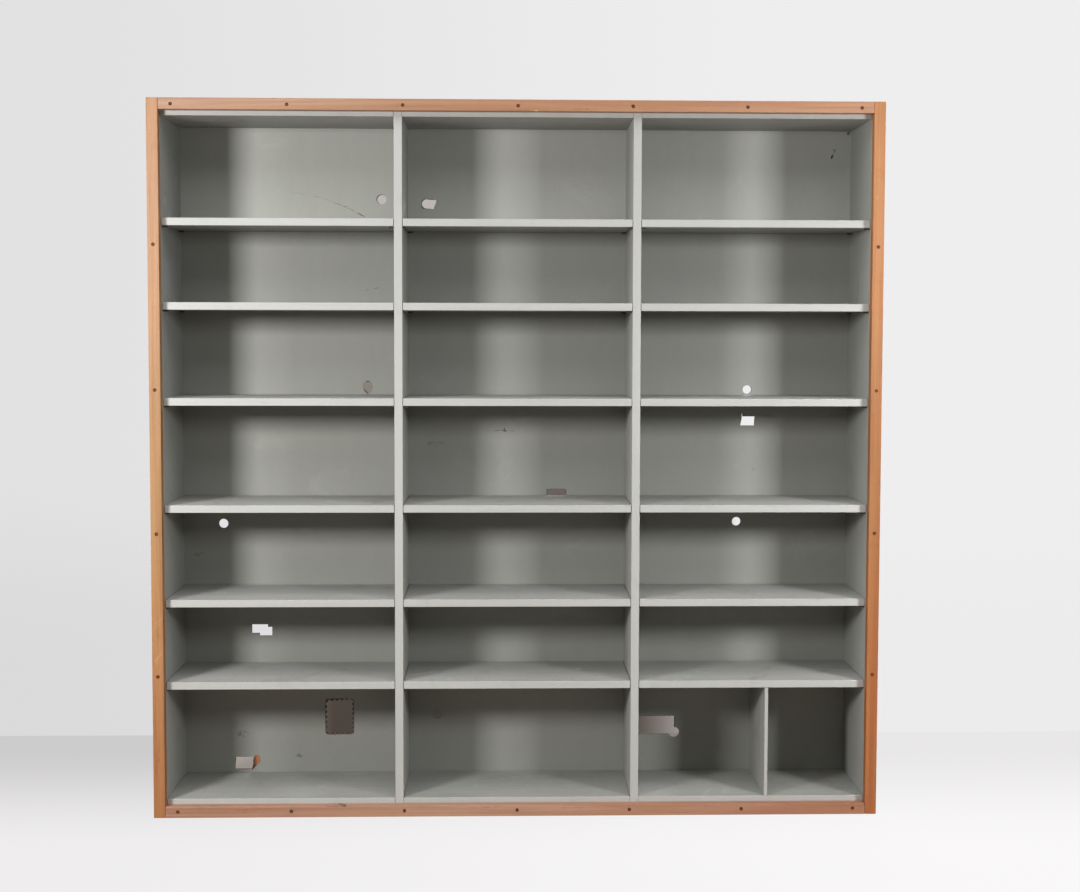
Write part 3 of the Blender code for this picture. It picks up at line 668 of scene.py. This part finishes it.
def wood_material(name, finish, along, shift, screws, tones_with_light, marks):
    """Frame wood with its grain along X or Z, cut from another place in the log by shift, with its marks and
    dark rings of painted shade in the countersinks round its screws. Its three tones are those of its start,
    its middle and its end, and they hold painted light as well as the wood's own colour."""
    material, shader, place = new_material(name)
    part = split(vector_calc("ADD", place, shift))
    across = "Z" if along == "X" else "X"
    wood = use("wood_grain", {
        "Vector": joined(part[across], part["Y"], part[along]),
        "Light": rgba(finish.wood_light),
        "Middle": rgba(finish.wood_middle),
        "Dark": rgba(finish.wood_dark),
        "End": remap(calc("ABSOLUTE", facing(place)[along]), 0.75, 0.95),
    })
    grime = remap(noise(place, 14.0, 5.0, 0.65), 0.56, 0.76, 0.0, 0.28)
    colour = stained(wood["Colour"], finish.wood_dark, grime)
    low, high = (CAD_LOW.x, CAD_HIGH.x) if along == "X" else (CAD_LOW.z, CAD_HIGH.z)
    middle = (low + high) / 2
    length = split(place)[along]
    # painted light: these tones make the stiles lighter towards their tops, over the wood's own colour
    tone = stained(rgba(tones_with_light[0]), tones_with_light[1], remap(length, 0.95 * low + 0.05 * high, middle))
    tone = stained(tone, tones_with_light[2], remap(length, middle, 0.15 * low + 0.85 * high))
    colour = mixed(1.0, colour, tone, "MULTIPLY")
    for mark in marks:
        colour = scratched(place, colour, *mark)
    # painted shade: a dark ring in the wood round each screw's head, where its countersink lies in shade
    heads = [screw_place(node) for node in SCREWS if node.startswith(screws)]
    countersink_shade = rim_mask(place, [(head.x, head.z, radius, radius, 2.0, 0.0016) for head, radius in heads])
    colour = stained(colour, SCREW_RING_SHADE, countersink_shade, 0.85)
    dress(shader, colour, wood["Roughness"], wood["Height"], 0.00025, specular=0.4)
    return material


def paint_material(name, colour, brush, wear, seed, dust, roughness_scale=1.0, edge=None, middle=None):
    """Painted board with dust on what looks up. Where asked, it darkens towards the back as painted shade, a
    paler copy of its paint covers its front edge as painted light, and its pegs, which stand out of the board
    about its middle, are coloured dark."""
    material, shader, place = new_material(name)
    coat = rgba(colour)
    part = split(place)
    front = remap(facing(place)["Y"], -0.3, -0.8)
    if edge is not None:
        # painted shade: the paint darkens from the front towards the back sheets, deep in the case
        darkened = remap(part["Y"], SHELF_FRONT, BACK_FRONT, 1.05, 0.70)
        # painted light: faces that look to the front take the paler paint
        coat = stained(scaled(coat, darkened), edge, front)
    paint = use("old_paint", {
        "Vector": place,
        "Colour": coat,
        "Brush": brush,
        "Wear": calc("MULTIPLY_ADD", front, -0.65 * wear, wear),
        "Seed": seed,
    })
    dusty = use("settled_dust", {"Vector": place, "Colour": paint["Colour"], "Amount": dust})
    shown = dusty["Colour"]
    # the pegs that stand out of the board, under the shelves, are coloured dark
    if middle is not None:
        away = calc("ABSOLUTE", calc("SUBTRACT", part["X"], middle))
        shown = stained(shown, PEG_DARK, remap(away, BOARD / 2 + 0.0002, BOARD / 2 + 0.0006))
    rough = calc("MULTIPLY_ADD", dusty["Mask"], 0.25, product(paint["Roughness"], roughness_scale))
    dress(shader, shown, rough, paint["Height"], 0.00018, specular=0.2)
    return material, shader, place, dusty["Colour"]


def shelf_material(name, finish, seed):
    """Shelf paint, rubbed front to back by what stood on it and chipped along its front edge."""
    material, shader, place, colour = paint_material(
        name, finish.shelf_paint, (3.0, 130.0, 130.0), 1.0, seed, 0.22, edge=finish.paler_paint
    )
    upward = facing(place)["Z"]
    moved = vector_calc("ADD", place, (seed, 0.0, seed))
    slides = stretched(moved, (170.0, 4.0, 1.0), 4.0, 0.6)
    patch = noise(moved, 4.2, 4.0, 0.6)
    slid = product(remap(slides, 0.52, 0.72), remap(patch, 0.45, 0.66))
    colour = stained(colour, SLIDE_MARK, slid, remap(upward, 0.6, 0.95), 0.30)
    from_front = calc("SUBTRACT", split(place)["Y"], SHELF_FRONT)
    rounding = remap(calc("ABSOLUTE", upward), 0.15, 0.4)
    arris = product(remap(from_front, 0.0045, 0.0012), rounding)
    chips = remap(noise(moved, 105.0, 5.0, 0.7), 0.60, 0.66)
    colour = stained(colour, CHIP, chips, arris, remap(patch, 0.40, 0.58), 0.8)
    feed(shader.inputs["Base Color"], colour)
    return material


def back_material(name, finish, seed, shaded_rims, scratches, smears):
    """Back sheet: painted in front, its holes ringed dark with painted shade, bare fibre in their walls and
    behind.
    """
    material, shader, place, colour = paint_material(
        name, finish.back_paint, (26.0, 26.0, 5.0), 0.70, seed, 0.0, 1.12
    )
    part = split(place)
    rearward = facing(place)["Y"]
    # painted light: the top row of each back sheet is made lighter, standing in for more light from above
    colour = scaled(colour, remap(part["Z"], TOP_ROW - 0.02, TOP_ROW, 1.0, 1.28))
    for scratch in scratches:
        colour = scratched(place, colour, *scratch)
    blotch = remap(noise(place, 95.0, 4.0, 0.7), 0.42, 0.62)
    colour = stained(colour, SMEAR, rim_mask(place, smears), blotch, 0.55)
    # painted shade: dark rims round the holes, mostly standing in for their shaded walls
    colour = stained(colour, HOLE_RIM_SHADE, rim_mask(place, shaded_rims), 0.9)
    depth = calc("SUBTRACT", part["Y"], BACK_FRONT)
    colour = stained(colour, FILLED_HOLE, remap(depth, 0.0008, 0.0015, 0.0, 0.85))
    fibre = use("bare_fibre", {
        "Vector": place,
        "Colour": rgba(finish.fibre),
        "Screen": remap(rearward, 0.5, 0.9),
    })
    front = remap(rearward, -0.6, -0.9)
    feed(shader.inputs["Base Color"], mixed(front, fibre["Colour"], colour))
    bare = calc("SUBTRACT", 1.0, front)
    bumped(shader, product(fibre["Height"], calc("MULTIPLY_ADD", bare, 0.9, 0.1)), 0.0003)
    return material


def batten_material(name, finish, seed):
    """Sawn softwood with its grain along X, greyed by dust."""
    material, shader, place = new_material(name)
    part = split(vector_calc("ADD", place, (0.0, seed, seed)))
    wood = use("wood_grain", {
        "Vector": joined(part["Z"], part["Y"], part["X"]),
        "Light": rgba(finish.softwood),
        "Middle": rgba([value * 0.82 for value in finish.softwood]),
        "Dark": rgba(SOFTWOOD_DARK),
    })
    dusty = use("settled_dust", {"Vector": place, "Colour": wood["Colour"], "Amount": 0.55})
    saw = stretched(place, (320.0, 12.0, 12.0), 2.0)
    rough = remap(saw, 0.3, 0.7, 0.66, 0.84)
    dress(shader, dusty["Colour"], rough, summed(wood["Height"], saw), 0.0004)
    return material


def screw_material(name, finish, centre, radius):
    """Tarnished screw: a rubbed middle, a dark rim of painted shade where it sits in its countersink, and a
    darker slot.
    """
    material, shader, place = new_material(name)
    tarnish = noise(place, 420.0, 5.0, 0.65)
    away = calc("DIVIDE", vector_calc("LENGTH", flat_way(centre, place)), radius)
    rubbed = product(remap(away, 0.75, 0.35), remap(tarnish, 0.30, 0.62, 0.45, 1.0))
    depth = calc("SUBTRACT", split(place)["Y"], CAD_LOW.y)
    # painted shade: the head is dark towards its rim, where the countersink shades it
    colour = stained(rgba(SCREW_RIM_SHADE), finish.brass, rubbed)
    colour = stained(colour, SCREW_SLOT, remap(depth, 0.0011, 0.0019))
    rough = remap(tarnish, 0.3, 0.7, 0.55, 0.80)
    dress(shader, colour, rough, tarnish, 0.0001, specular=0.12, metallic=product(rubbed, 0.3))
    return material


def pin_material(name):
    """Dull steel pin heads with a little rust."""
    material, shader, place = new_material(name)
    rust = remap(noise(place, 260.0, 5.0, 0.7), 0.48, 0.66)
    colour = stained(rgba(PIN_STEEL), PIN_RUST, rust)
    rough = calc("MULTIPLY_ADD", rust, 0.4, 0.38)
    bright = calc("MULTIPLY_ADD", rust, -0.8, 0.95)
    dress(shader, colour, rough, noise(place, 900.0, 3.0), 0.0001, metallic=bright)
    return material


def torn_material(name, middle_x):
    """Torn hardboard fibres, bright at their loose end and dark against the hole."""
    material, shader, place = new_material(name)
    fibre = use("bare_fibre", {"Vector": place, "Colour": rgba(TORN_FIBRE)})
    hairs = stretched(place, (900.0, 900.0, 120.0), 4.0, 0.7)
    torn = scaled(fibre["Colour"], remap(hairs, 0.3, 0.7, 0.65, 1.3))
    shaded = remap(split(place)["X"], middle_x + 0.0022, middle_x - 0.0078)
    colour = stained(torn, TORN_SHADE, shaded, 0.85)
    rough = remap(hairs, 0.3, 0.7, 0.75, 0.95)
    dress(shader, colour, rough, summed(fibre["Height"], hairs), 0.0005)
    return material


# Modelling helpers

def start_piece():
    """Leaves edit mode and deselects everything, before a new primitive."""
    if bpy.context.mode != "OBJECT":
        bpy.ops.object.mode_set(mode="OBJECT")
    bpy.ops.object.select_all(action="DESELECT")


def finish_piece(name, material):
    """Names the active object, puts its place in its mesh and sets it on the case."""
    if bpy.context.mode != "OBJECT":
        bpy.ops.object.mode_set(mode="OBJECT")
    bpy.ops.object.transform_apply()
    piece = bpy.context.object
    piece.name = name
    piece.data.name = name
    piece.data.materials.clear()
    piece.data.materials.append(material)
    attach(piece, CASE)


def pin_places(fittings):
    """X and Z of the panel pins: along each upright edge of a sheet, and along its top and bottom. Each is a
    little off its place, as pins set by eye are."""
    edges = (SIDE_X + fittings.pin_inset, DIVIDER_X + fittings.pin_inset, DIVIDER_X - fittings.pin_inset)
    low = BOTTOM_PANEL_HIGH.z + fittings.pin_spacing / 2
    high = TOP_PANEL_LOW.z - fittings.pin_spacing / 2
    count = round((high - low) / fittings.pin_spacing)
    off_by = 0.006
    places = []
    for k, edge in enumerate(edges):
        for sign in (-1, 1):
            for i in range(count + 1):
                drift = off_by * math.sin(7.0 * i + 3.0 * k + sign)
                places.append((sign * edge + 0.15 * drift, low + (high - low) * i / count + drift))
    levels = ((TOP_PANEL_LOW.z + TOP_PANEL_HIGH.z) / 2, (BOTTOM_PANEL_LOW.z + BOTTOM_PANEL_HIGH.z) / 2)
    across = round(2 * SIDE_X / fittings.pin_spacing)
    for z in levels:
        for i in range(across):
            drift = off_by * math.sin(5.0 * i + 40.0 * z)
            places.append((-SIDE_X + 2 * SIDE_X * (i + 0.5) / across + drift, z + 0.2 * drift))
    return places


# Operators

class BOOKCASE_OT_frame_wood(bpy.types.Operator):
    """Give each member of the front frame its own cut of oiled wood"""

    bl_idname = "bookcase.frame_wood"
    bl_label = "Front frame"

    def execute(self, context):
        for node, cut in FRAME_CUTS.items():
            give(node, wood_material(f"{node}_wood", context.scene.bookcase_finish, **cut))
        return {"FINISHED"}


class BOOKCASE_OT_case_paint(bpy.types.Operator):
    """Paint the sides, panels, dividers and the low partition"""

    bl_idname = "bookcase.case_paint"
    bl_label = "Case"

    def execute(self, context):
        finish = context.scene.bookcase_finish
        edge = finish.paler_paint
        upright_brush, level_brush = (110.0, 110.0, 2.5), (2.5, 110.0, 110.0)
        for i, node in enumerate(SIDES + UPRIGHTS):
            middle = BOARD_MIDDLES.get(node)
            painted = paint_material(
                f"{node}_paint", finish.paint, upright_brush, 0.6, 1.3 * i, 0.5, edge=edge, middle=middle
            )
            give(node, painted[0])
        # the bottom panel's paint is made a little darker than the case's; the top panel takes the paler
        # paint all over
        bottom_darker = [0.92 * value for value in finish.paint]
        for i, (node, coat) in enumerate((("top_panel", edge), ("bottom_panel", bottom_darker))):
            painted = paint_material(f"{node}_paint", coat, level_brush, 1.0, 9.0 + i, 0.35, edge=edge)
            give(node, painted[0])
        return {"FINISHED"}


class BOOKCASE_OT_shelf_paint(bpy.types.Operator):
    """Paint the loose shelves, each worn in its own places"""

    bl_idname = "bookcase.shelf_paint"
    bl_label = "Shelves"

    def execute(self, context):
        for i, node in enumerate(SHELVES):
            give(node, shelf_material(f"{node}_paint", context.scene.bookcase_finish, 0.77 * i))
        return {"FINISHED"}


class BOOKCASE_OT_back_sheets(bpy.types.Operator):
    """Paint the back sheets, with bare board round their holes, scratches and smears"""

    bl_idname = "bookcase.back_sheets"
    bl_label = "Back sheets"

    def execute(self, context):
        for i, (node, marks) in enumerate(zip(SHEETS, SHEET_MARKS)):
            give(node, back_material(f"{node}_paint", context.scene.bookcase_finish, 21.0 + 2.1 * i, **marks))
        return {"FINISHED"}


class BOOKCASE_OT_battens(bpy.types.Operator):
    """Give the hidden battens bare sawn softwood"""

    bl_idname = "bookcase.battens"
    bl_label = "Battens"

    def execute(self, context):
        for i, node in enumerate(BATTENS):
            give(node, batten_material(f"{node}_wood", context.scene.bookcase_finish, 0.43 * i))
        return {"FINISHED"}


class BOOKCASE_OT_screws(bpy.types.Operator):
    """Give the frame's screws tarnished metal"""

    bl_idname = "bookcase.screws"
    bl_label = "Screws"

    def execute(self, context):
        for node in SCREWS:
            give(node, screw_material(f"{node}_metal", context.scene.bookcase_finish, *screw_place(node)))
        return {"FINISHED"}


class BOOKCASE_OT_panel_pins(bpy.types.Operator):
    """Model one panel pin's head and set copies of it round the back sheets"""

    bl_idname = "bookcase.panel_pins"
    bl_label = "Panel pins"

    def execute(self, context):
        fittings = context.scene.bookcase_fittings
        radius, rise = fittings.pin_diameter / 2, fittings.pin_rise
        sunk = 0.0002
        start_piece()
        bpy.ops.mesh.primitive_cylinder_add(
            vertices=10, radius=radius, depth=rise, rotation=(-math.pi / 2, 0.0, 0.0),
            location=(0.0, BACK_REAR + rise / 2 - sunk, 0.0),
        )
        head = context.object
        bpy.ops.object.transform_apply()
        bpy.ops.object.mode_set(mode="EDIT")
        bpy.ops.mesh.select_mode(type="FACE")
        bpy.ops.mesh.select_all(action="DESELECT")
        bpy.ops.object.mode_set(mode="OBJECT")
        for face in head.data.polygons:
            face.select = face.normal.y > 0.9
        bpy.ops.object.mode_set(mode="EDIT")
        bpy.ops.mesh.inset(thickness=radius * 0.35, depth=rise * 0.25)
        bpy.ops.object.mode_set(mode="OBJECT")
        bpy.ops.object.shade_smooth_by_angle(angle=math.radians(50))
        made = [head]
        places = pin_places(fittings)
        for x, z in places[1:]:
            copy = head.copy()
            copy.data = head.data.copy()
            context.collection.objects.link(copy)
            copy.location = (x, 0.0, z)
            made.append(copy)
        head.location = (places[0][0], 0.0, places[0][1])
        start_piece()
        for pin in made:
            pin.select_set(True)
        context.view_layer.objects.active = head
        bpy.ops.object.join()
        finish_piece("panel_pins", pin_material("pin_steel"))
        return {"FINISHED"}


class BOOKCASE_OT_torn_board(bpy.types.Operator):
    """Model the flake of torn fibre beside the low hole"""

    bl_idname = "bookcase.torn_board"
    bl_label = "Torn board"

    def execute(self, context):
        rise = context.scene.bookcase_fittings.tear_rise
        width, height, lip, off_sheet = 0.0225, 0.0470, 0.0022, 0.0003
        taper, lean, raggedness = 0.75, 0.0150, 0.10
        hole_x, hole_z = hole_middle("low_hole_bay1_row7")
        x, z = hole_x + 0.0419, hole_z + 0.0032
        start_piece()
        upright = (math.pi / 2, 0.0, 0.0)
        bpy.ops.mesh.primitive_circle_add(vertices=22, radius=0.5, fill_type="NGON", rotation=upright)
        flake = context.object
        bpy.ops.object.transform_apply()
        for vert in flake.data.vertices:
            low = max(0.0, -vert.co.z * 2)
            ragged = 1.0 + raggedness * math.sin(37.0 * vert.co.x + 23.0 * vert.co.z)
            vert.co.x = vert.co.x * width * ragged * (1.0 - taper * low) - lean * low
            vert.co.z = vert.co.z * height * ragged
        bpy.ops.object.mode_set(mode="EDIT")
        bpy.ops.mesh.select_all(action="SELECT")
        bpy.ops.mesh.extrude_region_move(TRANSFORM_OT_translate={"value": (0.0, -rise, 0.0)})
        bpy.ops.mesh.inset(thickness=lip)
        bpy.ops.transform.translate(value=(0.0, -rise * 0.5, 0.0))
        bpy.ops.mesh.select_all(action="SELECT")
        bpy.ops.mesh.normals_make_consistent(inside=False)
        bpy.ops.transform.translate(value=(x, BACK_FRONT + off_sheet, z))
        bpy.ops.object.mode_set(mode="OBJECT")
        bpy.ops.object.shade_smooth_by_angle(angle=math.radians(40))
        finish_piece("torn_flake", torn_material("torn_fibre", x))
        return {"FINISHED"}


class BOOKCASE_OT_stage(bpy.types.Operator):
    """Set up the floor, the wall, the lamps and the camera"""

    bl_idname = "bookcase.stage"
    bl_label = "Stage"

    def execute(self, context):
        stage = context.scene.bookcase_stage
        self.floor(context, stage)
        self.wall(context, stage)
        self.lamps(context, stage)
        self.world(context, stage)
        self.camera(context)
        context.scene.view_settings.view_transform = "Standard"
        return {"FINISHED"}

    def plane(self, context, stage, name, size, place, turn, cloud_scale, roughness):
        """A large painted plane that takes light in the surface's colour."""
        start_piece()
        bpy.ops.mesh.primitive_plane_add(size=1.0, rotation=(turn, 0.0, 0.0), location=place)
        plane = context.object
        plane.name = name
        plane.scale = (*size, 1.0)
        bpy.ops.object.transform_apply()
        material, shader, where = new_material(f"{name}_paint")
        tone = remap(noise(where, cloud_scale, 4.0), 0.3, 0.7, 0.985, 1.015)
        feed(shader.inputs["Base Color"], scaled(rgba(stage.surface), tone))
        shader.inputs["Roughness"].default_value = roughness
        plane.data.materials.append(material)
        return plane, shader, split(where)

    def pale(self, shader, stage, share, level):
        """Lets a share of a plane shine for the camera and reflections, and the rest take light and shadow.
        The less of it shines, the warmer its glow, as a painted tint of light thrown back from the case."""
        warm = rgba((stage.backdrop[0], 0.93 * stage.backdrop[1], 0.87 * stage.backdrop[2]))
        colour = stained(warm, stage.backdrop, remap(share, 0.10, 0.85))
        glow = put(share.id_data, "ShaderNodeEmission", {"Color": colour, "Strength": level})
        return shaders_mixed(product(seen_rays(share.id_data), share), shader, glow)

    def open_side(self, across):
        """How much of the room's light reaches what lies behind the case, by its place across it."""
        beside = remap(calc("ABSOLUTE", across), 0.68, 0.84)
        return calc("MAXIMUM", beside, remap(across, 0.34, 0.75, 0.0, 0.45))

    def floor(self, context, stage):
        """A floor that is pale in front of the case, dimmer towards the wall and shaded behind the case."""
        place = (0.0, 0.0, 0.0)
        floor, shader, part = self.plane(context, stage, "floor", (40.0, 40.0), place, 0.0, 1.4, 0.7)
        across, deep = part["X"], part["Y"]
        # painted light: by place, the glow paints a shadow behind the case, shade near the wall and more
        # light to the right
        lit = remap(calc("ABSOLUTE", across), SIDE_X - 0.10, SIDE_X, 0.33, 0.94)
        hidden = product(self.open_side(across), lit)
        share = between(remap(deep, CAD_HIGH.y - 0.06, CAD_HIGH.y - 0.01), 0.94, hidden)
        near_wall = product(remap(deep, -0.45, 0.60), remap(deep, 1.60, 0.80))
        dim = product(near_wall, remap(across, -1.2, 1.2, 0.30, 0.15))
        level = product(remap(across, -1.6, 1.4, 1.03, 1.14), calc("SUBTRACT", 1.03, dim))
        pale = self.pale(shader, stage, share, level)
        feed(pale.id_data.nodes["Material Output"].inputs["Surface"], pale.outputs[0])

    def wall(self, context, stage):
        """A wall that shows only its front, so that it doesn't hide the case from behind."""
        place = (0.0, CAD_HIGH.y + stage.wall_distance, 5.0)
        wall, shader, part = self.plane(context, stage, "wall", (40.0, 10.0), place, math.pi / 2, 0.9, 0.8)
        across, height = part["X"], part["Z"]
        # painted light: by place, the glow paints a shadow behind the case, shade at the wall's foot and less
        # light to the left
        above = calc("MAXIMUM", remap(height, 0.05, 3.75), remap(height, 2.08, 2.28))
        share = calc("MAXIMUM", calc("MAXIMUM", self.open_side(across), above), 0.06)
        dim = product(remap(height, 1.00, 0.30), remap(across, -1.2, 1.2, 0.07, 0.02))
        level = product(remap(across, -2.0, 1.3, 0.91, 1.03), calc("SUBTRACT", 1.0, dim))
        pale = self.pale(shader, stage, share, level)
        tree = pale.id_data
        rear = put(tree, "ShaderNodeNewGeometry").outputs["Backfacing"]
        shown = shaders_mixed(rear, pale, put(tree, "ShaderNodeBsdfTransparent"))
        feed(tree.nodes["Material Output"].inputs["Surface"], shown.outputs[0])
        wall.visible_shadow = False
        wall.visible_diffuse = False

    def lamps(self, context, stage):
        """Two lamps in front, each held to its own side by its spread, and broad ones overhead and behind."""
        warm, cool, white = (1.0, 0.995, 0.985), (0.985, 0.995, 1.0), (1.0, 1.0, 1.0)
        panel, wide, square = (0.64, 0.60), (4.5, 3.0), (2.4, 2.4)
        lamps = (
            ("key_lamp", (-2.66, -2.58, 1.97), (-0.9, 0.15, 1.10), panel, 120.0, stage.key_power, warm),
            ("fill_lamp", (3.06, -2.40, 1.95), (1.4, 0.15, 1.05), panel, 78.0, stage.fill_power, cool),
            ("top_lamp", (0.0, -2.4, 4.2), (0.0, -1.2, 0.0), wide, 180.0, stage.top_power, white),
            ("rear_lamp", (1.6, 4.6, 3.4), (0.0, 0.15, 1.1), square, 180.0, stage.rear_power, white),
        )
        for name, place, aim, size, spread, power, colour in lamps:
            start_piece()
            turn = (Vector(aim) - Vector(place)).to_track_quat("-Z", "Y").to_euler()
            bpy.ops.object.light_add(type="AREA", location=place, rotation=turn)
            lamp = context.object
            lamp.name = name
            lamp.data.shape = "RECTANGLE"
            lamp.data.size, lamp.data.size_y = size
            lamp.data.spread = math.radians(spread)
            lamp.data.energy = power
            lamp.data.color = colour

    def world(self, context, stage):
        """Even light from all round, and a pale background for what the camera and reflections see."""
        world = bpy.data.worlds.new("studio")
        world.use_nodes = True
        tree = world.node_tree
        shade = tree.nodes["Background"]
        shade.inputs["Color"].default_value = (1.0, 1.0, 1.0, 1.0)
        feed(shade.inputs["Strength"], between(seen_rays(tree), stage.ambient, 0.60))
        context.scene.world = world

    def camera(self, context):
        """A camera level with the upper shelves, a little left of the middle."""
        eye_x, eye_from_front, eye_height = -0.0372, 4.3267, 1.4908
        turn, tilt, roll = math.radians(-1.387), math.radians(-2.945), math.radians(0.132)
        start_piece()
        bpy.ops.object.camera_add()
        camera = context.object
        camera.name = "camera"
        ahead = Vector((-math.sin(turn) * math.cos(tilt), math.cos(turn) * math.cos(tilt), math.sin(tilt)))
        level = ahead.cross(Vector((0.0, 0.0, 1.0))).normalized()
        above = level.cross(ahead)
        across = level * math.cos(roll) + above * math.sin(roll)
        up = above * math.cos(roll) - level * math.sin(roll)
        pose = Matrix((across, up, -ahead)).transposed().to_4x4()
        pose.translation = (eye_x, CAD_LOW.y - eye_from_front, eye_height)
        camera.matrix_world = pose
        camera.data.sensor_fit = "HORIZONTAL"
        camera.data.sensor_width = 36.0
        camera.data.lens = 47.667
        camera.data.shift_y = -0.0386
        camera.data.clip_end = 100.0
        context.scene.camera = camera


class BOOKCASE_PT_looks(bpy.types.Panel):
    """Sidebar list of the bookcase's settings and steps"""

    bl_idname = "BOOKCASE_PT_looks"
    bl_label = "Bookcase"
    bl_space_type = "VIEW_3D"
    bl_region_type = "UI"
    bl_category = "Bookcase"

    def draw(self, context):
        for name, group in SETTINGS.items():
            box = self.layout.box()
            for key in group.__annotations__:
                box.prop(getattr(context.scene, name), key)
        for operator in OPERATORS:
            self.layout.operator(operator.bl_idname)


OPERATORS = (
    BOOKCASE_OT_frame_wood,
    BOOKCASE_OT_case_paint,
    BOOKCASE_OT_shelf_paint,
    BOOKCASE_OT_back_sheets,
    BOOKCASE_OT_battens,
    BOOKCASE_OT_screws,
    BOOKCASE_OT_panel_pins,
    BOOKCASE_OT_torn_board,
    BOOKCASE_OT_stage,
)
SETTINGS = {
    "bookcase_finish": BookcaseFinish,
    "bookcase_fittings": BookcaseFittings,
    "bookcase_stage": BookcaseStage,
}
CLASSES = (*SETTINGS.values(), *OPERATORS, BOOKCASE_PT_looks)


def register():
    for cls in CLASSES:
        bpy.utils.register_class(cls)
    for name, group in SETTINGS.items():
        setattr(bpy.types.Scene, name, PointerProperty(type=group))


def unregister():
    for name in SETTINGS:
        delattr(bpy.types.Scene, name)
    for cls in reversed(CLASSES):
        bpy.utils.unregister_class(cls)


def main():
    register()
    make_groups()
    bpy.ops.bookcase.frame_wood()
    bpy.ops.bookcase.case_paint()
    bpy.ops.bookcase.shelf_paint()
    bpy.ops.bookcase.back_sheets()
    bpy.ops.bookcase.battens()
    bpy.ops.bookcase.screws()
    bpy.ops.bookcase.panel_pins()
    bpy.ops.bookcase.torn_board()
    bpy.ops.bookcase.stage()


if __name__ == "__main__":
    main()
